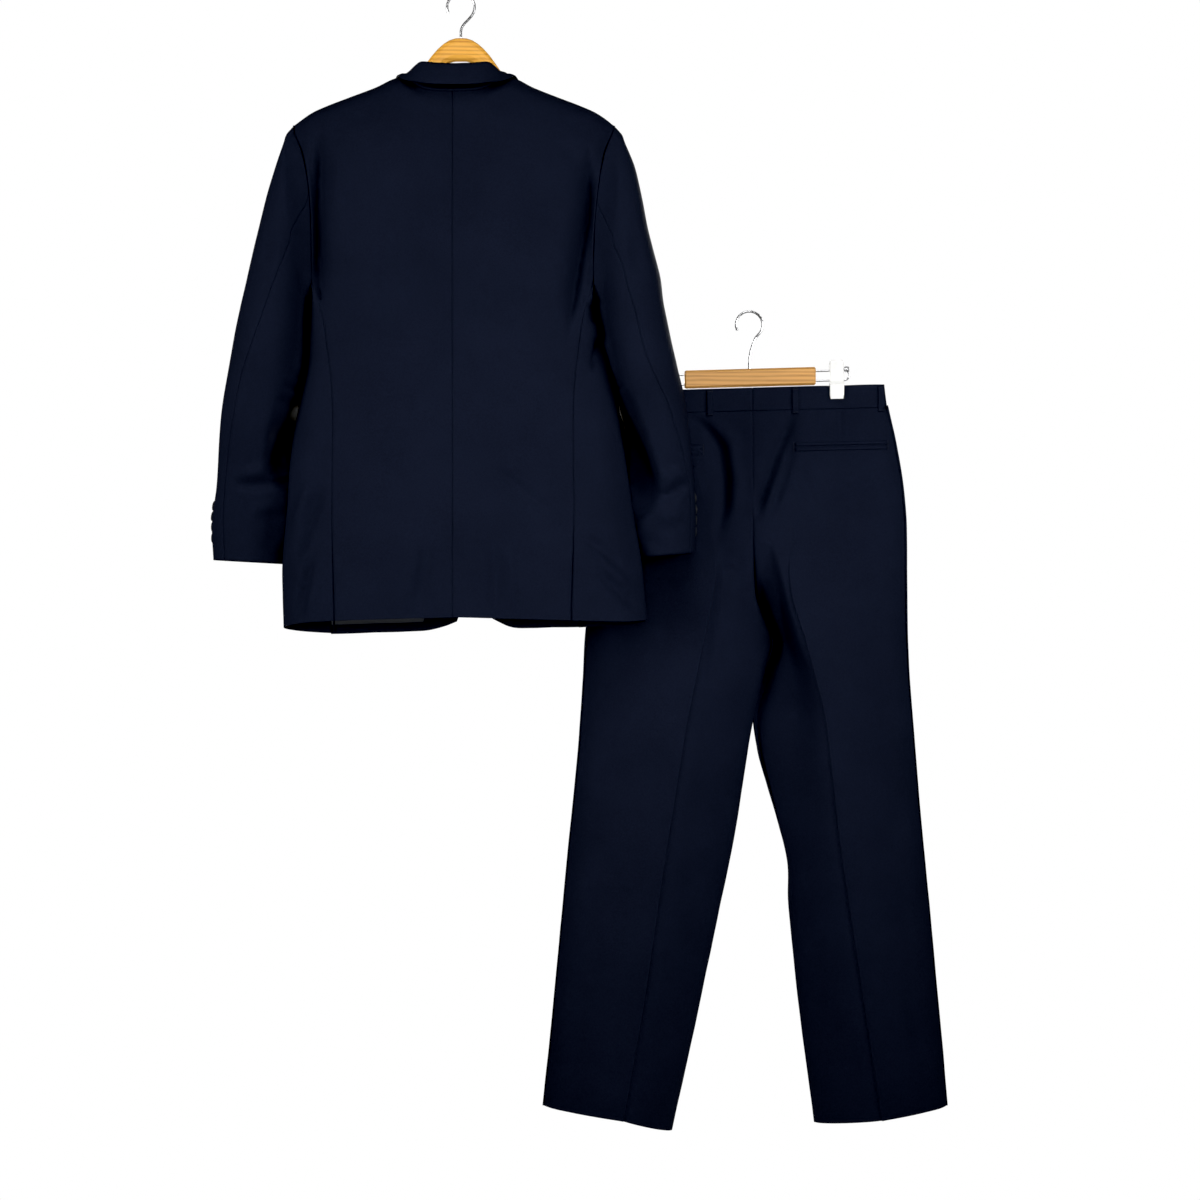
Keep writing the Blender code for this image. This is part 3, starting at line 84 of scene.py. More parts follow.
class Finish:
    # one material and its nodes
    def __init__(self, name, **fixed):
        self.material = bpy.data.materials.new(name)
        self.material.use_nodes = True
        self.nodes = self.material.node_tree.nodes
        self.links = self.material.node_tree.links
        self.shader = self.nodes["Principled BSDF"]
        for socket, value in fixed.items():
            self.shader.inputs[socket].default_value = value

    def add(self, kind, settings, sockets, output=0):
        node = self.nodes.new(kind)
        for key, value in settings.items():
            if key == "stops":
                ramp = node.color_ramp
                while len(ramp.elements) < len(value):
                    ramp.elements.new(0.5)
                for element, (at, colour) in zip(ramp.elements, value):
                    element.position = at
                    element.color = colour
            else:
                setattr(node, key, value)
        pairs = sockets.items() if isinstance(sockets, dict) else enumerate(sockets)
        for key, value in pairs:
            if isinstance(value, Value):
                self.links.new(value.socket, node.inputs[key])
            elif value is not None:
                node.inputs[key].default_value = value
        return Value(self, node.outputs[output])

    def feed(self, socket, value):
        self.links.new(value.socket, self.shader.inputs[socket])

    def place(self, output="Object"):
        return self.add("ShaderNodeTexCoord", {}, {}, output)

    def noise(self, where, scale, detail=2, rough=0.5):
        sockets = {"Vector": where, "Scale": scale, "Detail": detail, "Roughness": rough}
        return self.add("ShaderNodeTexNoise", {}, sockets)

    def mixed(self, share, first, second):
        # colours by a share; inputs 6 and 7 are the colour sockets
        return self.add("ShaderNodeMix", {"data_type": "RGBA"}, {0: share, 6: first, 7: second}, 2)

    def bumped(self, height, strength, distance):
        bump = self.add("ShaderNodeBump", {}, {"Height": height, "Strength": strength, "Distance": distance})
        self.feed("Normal", bump)

    def rough(self, cloud, least, spread):
        self.feed("Roughness", least + cloud * spread)


def shade(colour, factor):
    return tuple(c * factor for c in colour[:3]) + (1,)


def splitUp(finish, vector):
    node = finish.add("ShaderNodeSeparateXYZ", {}, {0: vector})
    outputs = node.socket.node.outputs
    return [Value(finish, outputs[k]) for k in range(3)]


worsted = {
    "colour": (0.0071, 0.0098, 0.0206, 1), "dark": 0.38, "light": 1.66,
    "specular": 0.03, "roughness": (0.74, 0.16),
    "twill": 1350, "slope": 0.62,               # twill lines in a metre, and how far they lean
    "fleck": (2600, 2, 0.6), "mottle": (380, 3, 0.55), "wide": (12, 2, 0.5),     # scale, detail, roughness
    "shares": (0.26, 0.10, 0.46, 0.24),         # of fleck, lines, mottle and wide clouds in the tone
    "relief": (0.6, 0.8), "bump": (0.35, 0.00025),       # of lines and fleck; strength and distance
}


def suitingFinish():
    values = worsted
    finish = Finish("navyWorsted", **{"Specular IOR Level": values["specular"]})
    surface = finish.place("UV")
    body = finish.place("Object")
    across, along, _ = splitUp(finish, surface)
    lines = ((across + along * values["slope"]) * (values["twill"] * 2 * math.pi)).math("SINE") * 0.5 + 0.5
    fleck = finish.noise(surface, *values["fleck"])
    mottle = finish.noise(body, *values["mottle"])
    wide = finish.noise(body, *values["wide"])
    ofFleck, ofLines, ofMottle, ofWide = values["shares"]
    tone = fleck * ofFleck + lines * ofLines + mottle * ofMottle + wide * ofWide
    dark, light = shade(values["colour"], values["dark"]), shade(values["colour"], values["light"])
    finish.feed("Base Color", finish.mixed(tone, dark, light))
    finish.rough(fleck, *values["roughness"])
    finish.bumped(lines * values["relief"][0] + fleck * values["relief"][1], *values["bump"])
    return finish.material


satin = {
    "dark": (0.012, 0.017, 0.029, 1), "light": (0.024, 0.031, 0.048, 1),
    "specular": 0.3, "roughness": (0.36, 0.16),
    "threads": 9000, "threadRelief": 0.4, "cloud": (14, 3, 0.6), "bump": (0.25, 0.0003),
}


def liningFinish():
    finish = Finish("liningSatin", **{"Specular IOR Level": satin["specular"]})
    surface = finish.place("UV")
    across, _, _ = splitUp(finish, surface)
    threads = (across * satin["threads"]).math("SINE") * 0.5 + 0.5
    cloud = finish.noise(surface, *satin["cloud"])
    finish.feed("Base Color", finish.mixed(cloud, satin["dark"], satin["light"]))
    finish.rough(cloud, *satin["roughness"])
    finish.bumped(threads * satin["threadRelief"] + cloud, *satin["bump"])
    return finish.material


clouded = {     # finishes of two colours in one soft cloud of a scale, detail and roughness
    "sewingThread": {
        "fixed": {"Specular IOR Level": 0.2}, "cloud": (2200, 2, 0.6),
        "roughness": (0.55, 0.2), "bump": (0.4, 0.0002),
        "dark": (0.004, 0.006, 0.012, 1), "light": (0.014, 0.019, 0.034, 1),
    },
    "buttonBlack": {
        "fixed": {"Specular IOR Level": 0.28}, "cloud": (260, 4, 0.6),
        "roughness": (0.5, 0.2), "bump": (0.15, 0.0003),
        "dark": (0.005, 0.0065, 0.011, 1), "light": (0.010, 0.013, 0.021, 1),
    },
    "platedSteel": {
        "fixed": {"Metallic": 1.0}, "cloud": (180, 4, 0.6),
        "roughness": (0.18, 0.22), "bump": None,
        "dark": (0.50, 0.50, 0.51, 1), "light": (0.72, 0.72, 0.73, 1),
    },
    "clipPlastic": {
        "fixed": {"Specular IOR Level": 0.4}, "cloud": (120, 3, 0.6),
        "roughness": (0.34, 0.14), "bump": (0.1, 0.0004),
        "dark": (0.80, 0.80, 0.78, 1), "light": (0.92, 0.92, 0.90, 1),
    },
}


def cloudedFinish(name):
    values = clouded[name]
    finish = Finish(name, **values["fixed"])
    cloud = finish.noise(finish.place(), *values["cloud"])
    finish.feed("Base Color", finish.mixed(cloud, values["dark"], values["light"]))
    finish.rough(cloud, *values["roughness"])
    if values["bump"]:
        finish.bumped(cloud, *values["bump"])
    return finish.material


wood = {
    "specular": 0.4, "roughness": (0.34, 0.2), "stops": (0.25, 0.55, 0.85), "lightest": 1.12,
    "grainScale": (3, 60, 60), "grain": (4.5, 5, 0.62), "poreScale": (22, 900, 900), "pores": (1.4, 2, 0.7),
    "rings": {"Scale": 0.9, "Distortion": 5, "Detail": 3, "Detail Scale": 1.3},
    "shares": (0.55, 0.3, 0.15), "relief": (0.6, 0.4), "bump": (0.2, 0.0003),
    "hangerWood": ((0.84, 0.42, 0.062, 1), (0.56, 0.23, 0.024, 1)),       # pale and deep colour
    "barWood": ((0.62, 0.32, 0.09, 1), (0.40, 0.18, 0.04, 1)),
}


def woodFinish(name, turn):
    # grain runs along X
    finish = Finish(name, **{"Specular IOR Level": wood["specular"]})
    body = finish.place("Object")
    grainAt, poreAt = (
        finish.add("ShaderNodeMapping", {}, {"Vector": body, "Rotation": (0, turn, 0), "Scale": wood[scale]})
        for scale in ("grainScale", "poreScale"))
    grain = finish.noise(grainAt, *wood["grain"])
    ringSockets = {"Vector": grainAt, **wood["rings"]}
    rings = finish.add("ShaderNodeTexWave", {"bands_direction": "Z"}, ringSockets, "Fac")
    pores = finish.noise(poreAt, *wood["pores"])
    ofGrain, ofRings, ofPores = wood["shares"]
    tone = grain * ofGrain + rings * ofRings + pores * ofPores
    pale, deep = wood[name]
    stops = tuple(zip(wood["stops"], (deep, pale, shade(pale, wood["lightest"]))))
    finish.feed("Base Color", finish.add("ShaderNodeValToRGB", {"stops": stops}, {0: tone}))
    finish.rough(grain, *wood["roughness"])
    finish.bumped(pores * wood["relief"][0] + grain * wood["relief"][1], *wood["bump"])
    return finish.material


suiting = suitingFinish()
lining = liningFinish()
thread, buttonBlack = cloudedFinish("sewingThread"), cloudedFinish("buttonBlack")
hangerWood, barWood = woodFinish("hangerWood", 0), woodFinish("barWood", barTurn)
steel, clipPlastic = cloudedFinish("platedSteel"), cloudedFinish("clipPlastic")
print("materials ready")


def panelPoints(node, size, first, outward, thick=cloth["cadWall"]):
    # the outer face's points of a cloth solid, row by row; first picks the first corner
    mesh = bmesh.new()
    mesh.from_mesh(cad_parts[node].data)
    bmesh.ops.remove_doubles(mesh, verts=mesh.verts, dist=cloth["merged"] * mm)
    mesh.verts.ensure_lookup_table()
    at = np.array([v.co for v in mesh.verts])
    apart = np.linalg.norm(at[:, None, :] - at[None, :, :], axis=2)
    partner = abs(apart - thick * mm).argmin(1)
    faces = [[v.index for v in face.verts] for face in mesh.faces]
    mesh.free()
    faces = [f for f in faces if not any(partner[v] in f for v in f)]
    links = {}
    for f in faces:
        for a, b, c in (f, f[1:] + f[:1], f[2:] + f[:2]):
            links.setdefault(a, set()).update((b, c))
    unseen = set(links)
    while unseen:
        heap, part = [unseen.pop()], set()
        while heap:
            v = heap.pop()
            part.add(v)
            fresh = links[v] & unseen
            heap += fresh
            unseen -= fresh
        own = [f for f in faces if f[0] in part]
        sides = [np.cross(at[f[1]] - at[f[0]], at[f[2]] - at[f[0]]) for f in own]
        if np.dot(sum(sides), outward) > 0:
            grid = walked(own, links, at, *size, first)
            return np.array([[at[v] for v in row] for row in grid])
    raise ValueError(node)


def walked(faces, links, at, rows, columns, first):
    # the border is followed from corner to corner, then each next point is the one that two known ones share
    sides = {}
    for f in faces:
        for pair in ((f[0], f[1]), (f[1], f[2]), (f[2], f[0])):
            sides[frozenset(pair)] = sides.get(frozenset(pair), 0) + 1
    rim = {}
    for pair, uses in sides.items():
        if uses == 1:
            a, b = pair
            rim.setdefault(a, []).append(b)
            rim.setdefault(b, []).append(a)
    loop = [next(iter(rim))]
    loop.append(rim[loop[0]][0])
    while len(loop) < len(rim):
        loop.append(next(v for v in rim[loop[-1]] if v != loop[-2]))
    size = len(loop)
    choices = []
    for way in (loop, loop[::-1]):
        spots = at[way]
        ahead = np.roll(spots, -1, 0) - spots
        ahead /= np.linalg.norm(ahead, axis=1)[:, None]
        bend = 1 - (ahead * np.roll(ahead, 1, 0)).sum(1)
        for s in range(size):
            turns = (s, s + columns - 1, s + columns + rows - 2, s + 2 * columns + rows - 3)
            choices.append((sum(bend[k % size] for k in turns), s, way))
    choices.sort(key=lambda choice: -choice[0])

    def fitness(choice):            # the right corner, with its row running across
        _, s, way = choice
        return first(at[way[s]]) + 0.001 * abs(at[way[(s + columns - 1) % size]][2] - at[way[s]][2])

    _, s, way = min(choices[:8 if rows == columns else 4], key=fitness)
    row = [way[(s + k) % size] for k in range(columns)]
    side = [way[(s - k) % size] for k in range(rows)]
    grid = [row]
    for i in range(1, rows):
        below = [side[i]]
        for j in range(1, columns):
            shared = links[row[j]] & links[below[-1]] - {row[j - 1]}
            below.append(shared.pop() if len(shared) == 1 else min(
                shared, key=lambda v: np.linalg.norm(at[v] - at[row[j]] - at[below[-1]] + at[row[j - 1]])))
        grid.append(below)
        row = below
    return grid


def stretched(points, step, fine=(), sharp=()):
    # a smooth run of points through the given ones, along the first axis; fine adds rows close to an end
    count = len(points)
    gaps = np.linalg.norm(np.diff(points, axis=0), axis=2).mean(1)
    beside = np.array(cloth["edgeLines"]) * mm
    slope = np.diff(points, axis=0) / gaps[:, None, None]
    into, out = np.zeros_like(points), np.zeros_like(points)
    for k in range(count):
        if 0 < k < count - 1:
            before, after = gaps[k - 1], gaps[k]
            smooth = (slope[k - 1] * after + slope[k] * before) / (before + after)
            into[k], out[k] = (slope[k - 1], slope[k]) if k in sharp else (smooth, smooth)
    out[0] = slope[0] * 1.5 - into[1] * 0.5 if count > 2 else slope[0]
    into[-1] = slope[-1] * 1.5 - out[-2] * 0.5 if count > 2 else slope[-1]
    marks = []
    for k, gap in enumerate(gaps):
        parts = max(1, round(gap / (step * mm)))
        marks += [k + p / parts for p in range(parts)]
    marks.append(count - 1)
    if "start" in fine:
        marks += list(beside / gaps[0])
    if "end" in fine:
        marks += list(count - 1 - beside / gaps[-1])
    for k in sharp:
        past, before = (np.array(lines) * mm for lines in cloth["creaseLines"])
        marks += list(k + past / gaps[k]) + list(k - before / gaps[k - 1])
    marks = sorted(marks)
    kept = [marks[0]]
    for m in marks[1:]:
        if (m - kept[-1]) * gaps[min(int(kept[-1]), count - 2)] > cloth["leastStep"] * mm:
            kept.append(m)
    kept[-1] = count - 1
    result = []
    for m in kept:
        k = min(int(m), count - 2)
        t = m - k
        a, b = points[k], points[k + 1]
        u, v = out[k] * gaps[k], into[k + 1] * gaps[k]
        result.append(a + u * t + (3 * (b - a) - 2 * u - v) * t ** 2 + (u + v - 2 * (b - a)) * t ** 3)
    return np.array(result), np.array(kept)


def woven(points, step=None, sharp=()):
    # fine grid over a panel, finest beside its edges
    step = step or cloth["step"]
    fine, _ = stretched(points, step, ("start", "end"))
    turned, columnMarks = stretched(fine.transpose(1, 0, 2), step, ("start", "end"), sharp)
    return turned.transpose(1, 0, 2), columnMarks


def facing(grid, outward):
    normal = np.cross(np.gradient(grid, axis=1), np.gradient(grid, axis=0))
    if (normal.sum((0, 1)) * outward).sum() < 0:
        normal = -normal
    return normal / np.maximum(np.linalg.norm(normal, axis=2, keepdims=True), 1e-12)


def runLength(grid, axis):
    # metres gone from the first edge along one axis
    pads = [(0, 0), (0, 0)]
    pads[axis] = (1, 0)
    return np.pad(np.cumsum(np.linalg.norm(np.diff(grid, axis=axis), axis=2), axis=axis), pads)


def edgeDistance(grid):
    # millimetres from each of the four edges
    fromFirst, fromNear = runLength(grid, 0), runLength(grid, 1)
    return {
        "first": fromFirst / mm, "last": (fromFirst[-1] - fromFirst) / mm,
        "near": fromNear / mm, "far": (fromNear[:, -1:] - fromNear) / mm,
    }


def nearLine(x, drop, path):
    # distance from a path of (x, drop) spots, and how far along it
    best = np.full(x.shape, 1e9)
    share = np.zeros(x.shape)
    spots = np.array(path, float)
    runs = np.linalg.norm(np.diff(spots, axis=0), axis=1)
    total = runs.sum()
    gone = 0
    for a, b, run in zip(spots, spots[1:], runs):
        t = ((x - a[0]) * (b[0] - a[0]) + (drop - a[1]) * (b[1] - a[1])) / run ** 2
        t = np.clip(t, 0, 1)
        away = np.hypot(x - a[0] - t * (b[0] - a[0]), drop - a[1] - t * (b[1] - a[1]))
        closer = away < best
        best = np.where(closer, away, best)
        share = np.where(closer, (gone + t * run) / total, share)
        gone += run
    return best, share


def creased(x, drop, creases):
    # height in millimetres that the creases add
    height = np.zeros(x.shape)
    for deep, wide, path in creases:
        away, share = nearLine(x, drop, path)
        fade = np.clip(share / cloth["fade"], 0, 1) * np.clip((1 - share) / cloth["fade"], 0, 1)
        fade = fade * fade * (3 - 2 * fade)
        if deep < cloth["closedFold"]:
            narrow = cloth["foldNarrow"]
            broad = wide * (narrow + (1 - narrow) * fade)
            profile = np.exp(-np.maximum(away - cloth["foldMiddle"], 0) / broad)
        else:
            back, wider = cloth["creaseBack"]
            profile = np.exp(-(away / wide) ** 2) - back * np.exp(-(away / wide / wider) ** 2)
        height += deep * fade * profile
    return height


def rumpled(grid, size, seed):
    # soft unevenness, the same wherever two pieces meet
    flat = grid.reshape(-1, 3)
    shift = Vector(seed * s for s in cloth["rumpleShift"])
    wide, fine = (np.array([noise.noise(Vector(p) * cloth[scale] + shift) for p in flat])
                  for scale in ("rumpleWide", "rumpleFine"))
    return size * (wide + 0.5 * fine).reshape(grid.shape[:2])


def meshPiece(name, points, faces, materials, indices=None, uv=None):
    mesh = bpy.data.meshes.new(name)
    mesh.from_pydata([tuple(p) for p in points], [], faces)
    for material in materials:
        mesh.materials.append(material)
    if indices is not None:
        mesh.polygons.foreach_set("material_index", indices)
    if uv is not None:
        layer = mesh.uv_layers.new(name="UVMap")
        loops = np.zeros(len(mesh.loops), int)
        mesh.loops.foreach_get("vertex_index", loops)
        layer.data.foreach_set("uv", np.array(uv)[loops].ravel())
    mesh.validate()
    mesh.shade_smooth()
    piece = bpy.data.objects.new(name, mesh)
    bpy.context.scene.collection.objects.link(piece)
    return piece


def sewnBetween(name, grid, inner, inside):
    # closed cloth: outer face, inner face and rim; inside marks the cells that show the lining
    rows, columns = grid.shape[:2]
    count = rows * columns
    points = np.vstack([grid.reshape(-1, 3), inner.reshape(-1, 3)])
    index = np.arange(count).reshape(rows, columns)
    a, b = index[:-1, :-1].ravel(), index[:-1, 1:].ravel()
    c, d = index[1:, 1:].ravel(), index[1:, :-1].ravel()
    outer = np.stack([a, b, c, d], 1)
    under = np.stack([d, c, b, a], 1) + count
    rim = np.concatenate([index[0, :-1], index[:-1, -1], index[-1, :0:-1], index[:0:-1, 0]])
    ahead = np.roll(rim, -1)
    border = np.stack([ahead, rim, rim + count, ahead + count], 1)
    faces = np.vstack([outer, under, border])
    lined = np.zeros(len(faces), int)
    if inside is not None:
        cells = inside[:-1, :-1].ravel().astype(int)
        lined[len(outer):len(outer) + len(under)] = cells
    across, along = runLength(grid, 1), runLength(grid, 0)
    across = across - across[:, columns // 2][:, None]
    uv = np.stack([across.ravel(), along.mean(1)[:, None].repeat(columns, 1).ravel()], 1)
    uv = np.vstack([uv, uv])
    return meshPiece(name, points, faces.tolist(), [suiting, lining], lined.tolist(), uv)


def walled(grid, normals, thick, seams, lips, reach):
    # the outer and the inner face; a sewn edge turns in, square to the cloth
    # and a lip goes on under its neighbour
    inner = grid - normals * (thick * mm)[:, :, None]
    doubled = []
    for side, axis, at in (("first", 0, 0), ("last", 0, -1), ("near", 1, 0), ("far", 1, -1)):
        if side not in seams:
            continue
        grid, inner = (np.moveaxis(face, axis, 0) for face in (grid, inner))
        away = grid[at] - grid[1 if at == 0 else -2]
        away /= np.maximum(np.linalg.norm(away, axis=1, keepdims=True), 1e-12)
        drop = inner[at] - grid[at]
        drop /= np.maximum(np.linalg.norm(drop, axis=1, keepdims=True), 1e-12)
        deep, wall = cloth["turnDepth"], cloth["wall"]
        inner = inner.copy()
        inner[at] -= away * wall * mm
        edge = grid[at]
        under = wall if side in lips else cloth["innerTurn"]
        steps = [(edge + drop * deep * mm, edge + (drop * (deep + under) - away * wall) * mm)]
        if side in lips:
            far = reach(edge)[:, None] if reach else cloth["lipReach"]
            steps.append(tuple(edge + (drop * low + away * far) * mm for low in (deep, deep + wall)))
        for rows in steps:
            grid, inner = (
                np.concatenate((row[None], face) if at == 0 else (face, row[None]))
                for face, row in zip((grid, inner), rows))
        grid, inner = np.moveaxis(grid, 0, axis), np.moveaxis(inner, 0, axis)
        doubled.append((axis, at, len(steps)))
    return grid, inner, doubled


def cutSize(grid):
    across = np.linalg.norm(np.diff(grid, axis=1), axis=2).sum(1).max()
    along = np.linalg.norm(np.diff(grid, axis=0), axis=2).sum(0).max()
    side = np.cross(grid[1:, :-1] - grid[:-1, :-1], grid[:-1, 1:] - grid[:-1, :-1])
    area = np.linalg.norm(side, axis=2).sum()
    return float(across), float(along), float(area)


def roundedRise(distance, wall, soft):
    # how far a laid piece's outer face has risen this close to its edge
    share = np.clip(distance / soft, 0, 1)
    edge = cloth["laidEdge"]
    return wall * (edge + (1 - edge) * np.sqrt(1 - (1 - share) ** 2))


def heights(ground, spots, toward):
    # where each (x, z) spot meets the pieces below, on one side of Y
    found = np.zeros(spots.shape[:2])
    for i, row in enumerate(spots):
        for j, (x, z) in enumerate(row):
            for slip in cloth["seek"]:
                hit = ground.ray_cast(Vector((x + slip * mm, toward, z)), Vector((0, -toward, 0)))[0]
                if hit is not None:
                    break
            found[i, j] = hit.y * toward if hit is not None else np.nan
    for _ in range(cloth["goOn"]):      # past an edge, the height of the nearest spot goes on
        gone = np.isnan(found)
        if not gone.any():
            break
        wide = np.pad(found, 1, mode="edge")
        around = np.stack([wide[:-2, 1:-1], wide[2:, 1:-1], wide[1:-1, :-2], wide[1:-1, 2:]])
        near = np.nanmax(np.where(np.isnan(around), -9, around), axis=0)
        found = np.where(gone & (near > -9), near, found)
    return found


def settled(height):
    # a stiff piece bridges small hollows of what it lies on
    for _ in range(cloth["bridge"]):
        wide = np.pad(height, 1, mode="edge")
        around = (wide[:-2, 1:-1] + wide[2:, 1:-1] + wide[1:-1, :-2] + wide[1:-1, 2:]) / 4
        height = np.maximum(height, around)
    return height


sheets = {}                 # each piece of cloth with its flat size, what it rests on and what is sewn on it


def laidPiece(name, node, ground, spots, toward, wall, soft=1.4, rise=None, carrier=None):
    # spots is a fine grid of (x, z); toward is the side of Y that the piece faces
    spots = np.asarray(spots, float)
    height = settled(heights(ground, spots, toward)) + cloth["laidGap"] * mm
    if rise is not None:
        height = height + rise * mm
    base = np.stack([spots[:, :, 0], toward * height, spots[:, :, 1]], 2)
    distance = edgeDistance(base)
    thick = roundedRise(np.min(list(distance.values()), axis=0), wall, soft) * mm
    outer = base.copy()
    outer[:, :, 1] += toward * thick
    over, down = base[0, 1] - base[0, 0], base[1, 0] - base[0, 0]
    if np.cross(over, down)[1] * toward < 0:
        outer, base = outer[:, ::-1], base[:, ::-1]
    piece = sewnBetween(name, outer, base, None)
    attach(piece, "root")
    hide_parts(node)
    if carrier:
        sheets[carrier]["with"].append(piece)
    else:
        sheets[name] = {"piece": piece, "cut": cutSize(outer), "rests": [], "with": []}


def groundOf(*pieces):
    points, faces = [], []
    for piece in pieces:
        start = len(points)
        points += [v.co.copy() for v in piece.data.vertices]
        faces += [tuple(start + v for v in f.vertices) for f in piece.data.polygons]
    return BVHTree.FromPolygons(points, faces)


def hungPiece(name, node, grid, normals, thick, seams, lips="", inside=None, rests=(), reach=None):
    # normals are those from before the folds, so the two faces of the wall stay clear of each other
    outer, inner, added = walled(grid, normals, thick, seams, lips, reach)
    if inside is not None:
        pads = [[0, 0], [0, 0]]
        for axis, at, count in added:
            pads[axis][at] = count
        inside = np.pad(inside, pads, mode="edge")
    if np.cross(grid[0, 1] - grid[0, 0], grid[1, 0] - grid[0, 0]) @ normals[0, 0] < 0:
        outer, inner = outer[:, ::-1], inner[:, ::-1]
        inside = inside if inside is None else inside[:, ::-1]
    piece = sewnBetween(name, outer, inner, inside)
    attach(piece, "root")
    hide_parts(*([node] if isinstance(node, str) else node))
    sheets[name] = {"piece": piece, "cut": cutSize(grid), "rests": list(rests), "with": []}
    return piece


def sunkSeams(grid, seams):
    distance = edgeDistance(grid)
    depth = np.zeros(grid.shape[:2])
    for side in ("first", "last", "near", "far"):
        if side in seams:
            depth = np.maximum(depth, np.exp(-(distance[side] / cloth["seamWide"]) ** 2))
    return -cloth["seamSink"] * depth


def outerHigh(point):
    # the highest corner away from the centre
    return -point[2] - abs(point[0] - jacketX * mm)


def neckLeft(point):
    # the left gorge, at the neck seam
    return point[0] * 0.2 + abs(point[0] - (jacketX - 61.5) * mm) * 2 - point[2] * 0.1


def frontHigh(point):
    return -point[2] - point[1]


def backHigh(point):
    return -point[2] + point[1]


jacket = {
    "rumple": 0.55, "backStep": 3.4, "underlapWall": 1.2,
    "vent": (738, 880), "ventGap": 2.4, "ventSide": (0, 22),
    "frontHemDeep": 13.5, "facing": 54, "topPlain": 14,     # where the lining starts, from the edges
    "hemFade": (0, 70), "backEdge": (0, 7), "folded": (0.5, 4), "plainUnder": 0.2,
    # how far an edge goes on inside the collar or the sleeve, and where
    "neckReach": 9, "neckEnd": (66, 76), "sideReach": 6, "sideEnd": (446, 456),
    "frontReach": 8, "frontStart": (408, 418), "frontEnd": (446, 456),
    "hemLower": ((-216, -180, -120, -60, -15, 72, 90, 140, 220), (3, 1, 0, 1.5, 5, 5, 3, 0, 0)),
    "back": [   # depth, width and path from the centre seam, all in millimetres
        (-16, 8, [(-189, 190), (-190, 300), (-188, 470)]),
        (-20, 8.5, [(194, 215), (189, 320), (182, 365), (175, 415), (160, 510)]),
        (-2.9, 7, [(56, 676), (100, 712), (150, 752)]),
        (2.0, 6, [(60, 664), (108, 700)]),
        (-4.3, 9, [(60, 780), (62, 890)]),
        (2.9, 8, [(78, 790), (90, 892)]),
        (-3.6, 9, [(-34, 780), (-50, 892)]),
        (2.2, 8, [(-50, 800), (-70, 895)]),
        (-1.3, 5, [(-108, 500), (-2, 502)]),
        (-2.3, 13, [(-90, 350), (-96, 500)]),
        (-2.3, 13, [(44, 370), (36, 500)]),
        (1.8, 14, [(-64, 330), (-68, 480)]),
        (-2.2, 10, [(152, 214), (190, 268)]),
        (1.8, 9, [(-160, 205), (-165, 330)]),
    ],
    "side": [
        (-8.4, 9, [(-182, 700), (-205, 760), (-226, 815)]),
        (5.8, 9, [(-200, 690), (-228, 770)]),
        (-7.8, 8, [(-198, 795), (-220, 897)]),
        (5.2, 8, [(-190, 800), (-205, 897)]),
        (-6.8, 8, [(180, 772), (212, 795), (242, 822)]),
        (-6.8, 8, [(204, 826), (235, 852), (262, 880)]),
        (4.6, 8, [(200, 800), (250, 850)]),
        (-7.2, 9, [(196, 440), (203, 478)]),
        (-10.4, 8, [(214, 488), (196, 545)]),
    ],
    "sleeve": [
        (4.5, 9, [(-226, 676), (-262, 682), (-316, 690)]),
        (-8.5, 8, [(-222, 690), (-262, 700), (-290, 702), (-318, 698)]),
        (5, 10, [(-236, 724), (-268, 734), (-296, 738)]),
        (-4, 10, [(-226, 760), (-258, 776), (-286, 800)]),
        (4.5, 9, [(280, 694), (306, 690), (340, 682)]),
        (-8.5, 8, [(276, 722), (304, 716), (324, 704), (340, 698)]),
        (5, 12, [(284, 752), (306, 746), (330, 738)]),
        (-4, 10, [(272, 770), (288, 790), (310, 802)]),
        (-4.3, 10, [(-250, 330), (-268, 420)]),
        (-4.0, 9, [(252, 330), (262, 420)]),
        (-4.0, 9, [(240, 230), (252, 262)]),
        (3.2, 9, [(-300, 560), (-318, 640)]),
        (-3.6, 9, [(316, 520), (330, 600)]),
    ],
    "front": [
        (-1.6, 10, [(-150, 260), (-140, 420)]),
        (1.4, 12, [(-110, 420), (-60, 560)]),
        (-1.4, 11, [(120, 430), (60, 560)]),
        (-1.3, 10, [(-40, 600), (-90, 740)]),
        (-1.3, 10, [(70, 610), (120, 760)]),
        (1.2, 12, [(150, 300), (140, 470)]),
    ],
}


def step01(low, high, at):
    share = np.clip((at - low) / (high - low), 0, 1)
    return share * share * (3 - 2 * share)


def jacketHeight(grid, face):
    return creased(grid[:, :, 0] / mm - jacketX, -grid[:, :, 2] / mm, jacket[face])


def swollen(grid, ground, toward, wish):
    # how far a piece swells along X until it meets the one that it hangs against
    swell = np.zeros(grid.shape[:2])
    for i in range(grid.shape[0]):
        for j in range(grid.shape[1]):
            if wish[i, j] > sleeves["leastWish"]:
                away = ground.ray_cast(Vector(grid[i, j]), Vector((toward, 0, 0)), sleeves["look"] * mm)[3]
                if away is not None:
                    swell[i, j] = max(0, away / mm + sleeves["pressed"]) * wish[i, j]
    return swell


